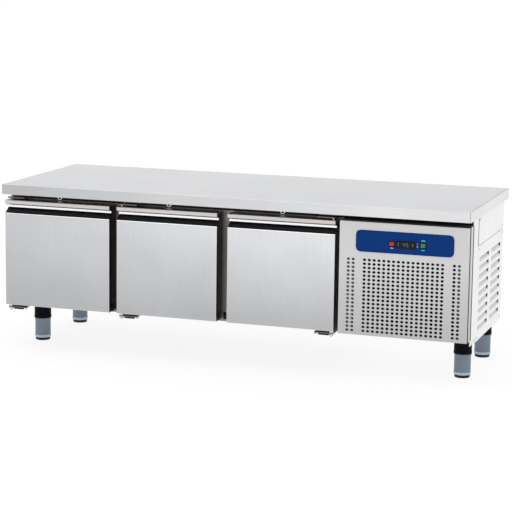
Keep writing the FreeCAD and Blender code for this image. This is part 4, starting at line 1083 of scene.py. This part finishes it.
plate_low, plate_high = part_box("control_fascia")
RIM, RIM_RADIUS, RIM_INSET = 1.3 * MM, 19 * MM, 4 * MM
border = block("fascia_border", (plate_low.x - RIM, plate_high.y - 0.7 * MM, plate_low.z - RIM),
               (plate_high.x + RIM, plate_high.y, plate_high.z + RIM))
edit(border)
pick_edges(border, across_edges)
round_off(RIM_RADIUS, 9)
pick_faces(border, lambda centre, normal: abs(normal.y) > 0.9)
bpy.ops.mesh.inset(thickness=RIM_INSET)
bpy.ops.mesh.delete(type="FACE")
pick_edges(border, lambda a, b: near(a.y, b.y) and all(
    plate_low.x + 2 * MM < p.x < plate_high.x - 2 * MM
    and plate_low.z + 2 * MM < p.z < plate_high.z - 2 * MM for p in (a, b)))
bpy.ops.mesh.bridge_edge_loops()
turn_outward()
leave_edit()
smooth(border, 30)
ready(border, "cabinet", fascia_rim)
print("border", len(border.data.polygons), "faces")

# %% Marks beside the switches
def mark(name, x, z, wide, tall, finish):
    front = plate_low.y
    piece = block(name, (x - wide / 2, front - 0.25 * MM, z - tall / 2),
                  (x + wide / 2, front + 0.2 * MM, z + tall / 2))
    edit(piece)
    pick_edges(piece, across_edges)
    round_off(min(wide, tall) * 0.45, 4)
    leave_edit()
    smooth(piece)
    return ready(piece, "cabinet", finish)


power_low, power_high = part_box("power_rocker")
light_low, light_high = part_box("light_rocker")
light_x, power_x = (light_low.x + light_high.x) / 2, (power_low.x + power_high.x) / 2
switch_level = (light_low.z + light_high.z) / 2
mark("mark_lamp_red", light_x - 20 * MM, switch_level + 4 * MM, 5 * MM, 6 * MM, mark_red)
mark("mark_lamp_blue", light_x - 20 * MM, switch_level - 5 * MM, 5 * MM, 4 * MM, mark_blue)
mark("mark_light_above", light_x, switch_level + 16 * MM, 14 * MM, 3 * MM, mark_blue)
mark("mark_light_below", light_x, switch_level - 16 * MM, 12 * MM, 3 * MM, mark_blue)
mark("mark_power_below", power_x, switch_level - 15 * MM, 10 * MM, 2.4 * MM, mark_white)
print("marks at", round(switch_level, 4))

# %% [markdown]
# ## The thermostat's display
# Behind the smoked window two seven-segment digits show a temperature. A digit is a set of thin
# bars with softened edges, and a letter names the place of each bar.

# %% Display digits
GLASS_LOW, GLASS_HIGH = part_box("controller_window")
STROKES = {"4": "bcfg", "5": "acdfg"}
DIGIT_WIDE, DIGIT_TALL = 6 * MM, 11 * MM
OFFSETS = {"a": (0, 1, 0), "g": (0, 0, 0), "d": (0, -1, 0), "f": (-1, 0.5, 1),
           "b": (1, 0.5, 1), "c": (1, -0.5, 1)}
DIGIT_SHIFTS = (("4", -5.5 * MM), ("5", 5.5 * MM))


def stroke(x, z, stands):
    half = (DIGIT_WIDE * 0.38, DIGIT_TALL * 0.055)
    reach, thick = (half[1], half[0]) if stands else half
    front = GLASS_LOW.y
    return block("stroke", (x - reach, front - 0.12 * MM, z - thick),
                 (x + reach, front + 0.1 * MM, z + thick))


def digit(symbol, x):
    middle = (GLASS_LOW.z + GLASS_HIGH.z) / 2
    bars = []
    for letter in STROKES[symbol]:
        side, level, stands = OFFSETS[letter]
        bars.append(stroke(x + side * DIGIT_WIDE * 0.5, middle + level * DIGIT_TALL / 2, stands))
    return bars


glass_x = (GLASS_LOW.x + GLASS_HIGH.x) / 2
bars = [bar for symbol, shift in DIGIT_SHIFTS for bar in digit(symbol, glass_x + shift)]
digits = joined("display_digits", bars)
soften(digits, 0.08 * MM, 1)
ready(digits, "cabinet", segment_pale)
print(len(bars), "strokes")

# %% [markdown]
# ## Small parts in the gaps
# Under the worktop a black strip closes the cabinet's head; its black is painted shadow. Small
# bright catches sit above the doors, and their brightness is a painted highlight. Between the
# doors, at floor level, a black stop with a bright top shows; the bright top is a painted
# highlight. Two dark lines run down the end of the perforated panel, a painted reflection on the
# corner fold and painted shade in the back joint, and a dark strip along its top is painted shade
# and reflection. A fourth line of painted shade marks the front edge of the upper side panel.
# They are slight, but they draw the gaps.

# %% Head strip: painted shadow under the worktop
frame_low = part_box("front_frame")[0]
top_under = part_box("worktop_skin")[0].z
door_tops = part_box("door_1_handle")[1].z
bay_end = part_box("bay_frame")[1].x - 2 * MM
strip = block("head_shadow_strip", (frame_low.x, frame_low.y - 1 * MM, door_tops + 2.5 * MM),
              (bay_end, frame_low.y, top_under - 0.5 * MM))
edit(strip)
pick_faces(strip, facing("y", -1))
bpy.ops.mesh.inset(thickness=2 * MM)
push((0, 0.4 * MM, 0))
leave_edit()
soften(strip, 0.2 * MM, 1)
# The black plastic here is painted shadow under the worktop.
ready(strip, "cabinet", black_plastic)
print("head strip", [round(v, 4) for v in strip.dimensions])

# %% Catches
CATCH_DROP, CATCH_REACH, CATCH_THICK, CATCH_LEG = 9 * MM, 12 * MM, 2 * MM, 6 * MM


def catch(name, left, wide):
    """A small bent steel tongue that hangs under the worktop."""
    low, leg = top_under - CATCH_DROP, frame_low.y - 1 * MM - CATCH_THICK
    piece = block(name, (left, frame_low.y - CATCH_REACH, low),
                  (left + wide, frame_low.y - 1 * MM, low + CATCH_THICK))
    edit(piece)
    cut_across((0, leg, 0), (0, 1, 0))
    pick_faces(piece, lambda centre, normal: normal.z > 0.9 and centre.y > leg)
    push((0, 0, CATCH_LEG))
    leave_edit()
    soften(piece, 0.5 * MM)
    # The catch takes the bright fold steel: a painted highlight.
    return ready(piece, "cabinet", door_fold_highlight)


door_2, door_3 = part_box("door_2_skin")[0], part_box("door_3_skin")[0]
catch("catch_middle", door_2.x + 1 * MM, 12 * MM)
catch("catch_right", door_3.x - 6 * MM, 33 * MM)
print("catches under", round(top_under, 3))

# %% Floor stops
STOP_TALL = 26 * MM


def floor_stop(name, left, right):
    foot_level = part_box("door_1_skin")[0].z
    piece = block(name, (left, frame_low.y - 6 * MM, foot_level),
                  (right, frame_low.y, foot_level + STOP_TALL))
    edit(piece)
    pick_faces(piece, facing("z"))
    bpy.ops.mesh.inset(thickness=1 * MM)
    push((0, 0, 3 * MM))
    leave_edit()
    soften(piece, 0.7 * MM)
    cap_level = foot_level + STOP_TALL + 0.5 * MM
    # The stop's top takes the bright fold steel: a painted highlight on black plastic.
    paint(piece, (black_plastic, door_fold_highlight), lambda face: int(face.center.z > cap_level))
    return ready(piece, "cabinet", None)


door_1_end, door_2_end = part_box("door_1_skin")[1].x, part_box("door_2_skin")[1].x
floor_stop("stop_left", door_1_end + 5 * MM, door_1_end + 22 * MM)
floor_stop("stop_right", door_2_end + 9 * MM, door_2_end + 30 * MM)
print("stops beside the doors, up to", round(door_2_end + 30 * MM, 3))

# %% Dark lines on the side panels: painted shade and reflection
panel_low, panel_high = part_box("grille_panel")
SEAM_PROUD = 0.25 * MM


def side_seam(name, start, wide, low, high):
    """A thin dark line, a hair proud of the sheet: painted shade at a joint, painted reflection on
    a fold.
    """
    piece = block(name, (panel_high.x - 0.3 * MM, start, low),
                  (panel_high.x + SEAM_PROUD, start + wide, high))
    soften(piece, 0.1 * MM, 1)
    return ready(piece, "cabinet", seam_painted_shade)


# The corner line is a painted reflection; the back and upper lines are painted shade in joints.
side_seam("panel_corner_painted_reflection", panel_low.y + 1.6 * MM, 15 * MM, panel_low.z, panel_high.z)
side_seam("panel_back_painted_shade", panel_high.y - 6 * MM, 12 * MM, panel_low.z, panel_high.z)
side_seam("upper_panel_painted_shade", upper_low.y - 4 * MM, 7 * MM, upper_low.z, upper_high.z - 8 * MM)
# A dark rubber strip on the panel's top: painted shade and reflection from the worktop's dark
# underside.
dark_top_strip = block("panel_top_painted_shade", (panel_low.x + 1 * MM, panel_low.y + 2.2 * MM, panel_high.z),
                 (panel_high.x - 1 * MM, panel_high.y - 1.5 * MM, panel_high.z + 1.6 * MM))
edit(dark_top_strip)
pick_faces(dark_top_strip, facing("z"))
bpy.ops.mesh.inset(thickness=4 * MM)
push((0, 0, 2 * MM))
leave_edit()
soften(dark_top_strip, 0.3 * MM)
ready(dark_top_strip, "cabinet", seal_rubber)
print("top seal", [round(v, 4) for v in dark_top_strip.dimensions])

# %% [markdown]
# ## Inside the cold compartment
# The liner is one bright tub with coved corners, which are easy to wipe. A box with its front
# open gets bevelled edges and then a wall. A wire guard of thin rings covers the evaporator fan.

# %% Coved liner
tub_low, tub_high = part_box("inner_liner")
COVE, WALL = 14 * MM, 0.9 * MM
tub = block("coved_liner", tub_low + Vector((WALL, 0, WALL)),
            (tub_high.x - WALL, tub_high.y - WALL, tub_high.z - WALL))
edit(tub)
pick_faces(tub, facing("y", -1))
bpy.ops.mesh.delete(type="FACE")
pick_edges(tub, lambda a, b: not (near(a.y, tub_low.y) and near(b.y, tub_low.y)))
round_off(COVE, 5)
leave_edit()
modify(tub, "SOLIDIFY", thickness=WALL, offset=1)
smooth(tub, 40)
ready(tub, "cabinet", liner_steel, ["inner_liner"])
print("tub", [round(v, 3) for v in tub.dimensions])

# %% Evaporator fan guard
GUARD_RINGS, GUARD_SPOKES = (22, 38, 54, 69), (0, 60, 120)
GUARD_REACH = 70 * MM
fan_low, fan_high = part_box("evaporator_fan")
cover_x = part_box("evaporator_cover")[0].x
fan_middle = Vector((cover_x + 0.6 * MM, (fan_low.y + fan_high.y) / 2,
                     (fan_low.z + fan_high.z) / 2))
guard_parts = []
for radius in GUARD_RINGS:
    clear_selection()
    bpy.ops.mesh.primitive_torus_add(location=fan_middle, rotation=TURNS["X"],
                                     major_radius=radius * MM, minor_radius=0.9 * MM,
                                     major_segments=48, minor_segments=8)
    guard_parts.append(bpy.context.object)
    apply_place(guard_parts[-1])
for turn in GUARD_SPOKES:
    spoke = drum("spoke", "Z", fan_middle, 1 * MM, 2 * GUARD_REACH, 8)
    edit(spoke)
    bpy.ops.mesh.select_all(action="SELECT")
    bpy.ops.transform.rotate(value=math.radians(turn), orient_axis="X",
                             center_override=tuple(fan_middle))
    leave_edit()
    guard_parts.append(spoke)
guard = joined("fan_guard", guard_parts)
smooth(guard, 60)
ready(guard, "cabinet", wire_plate)
print("guard", len(guard.data.polygons), "faces")
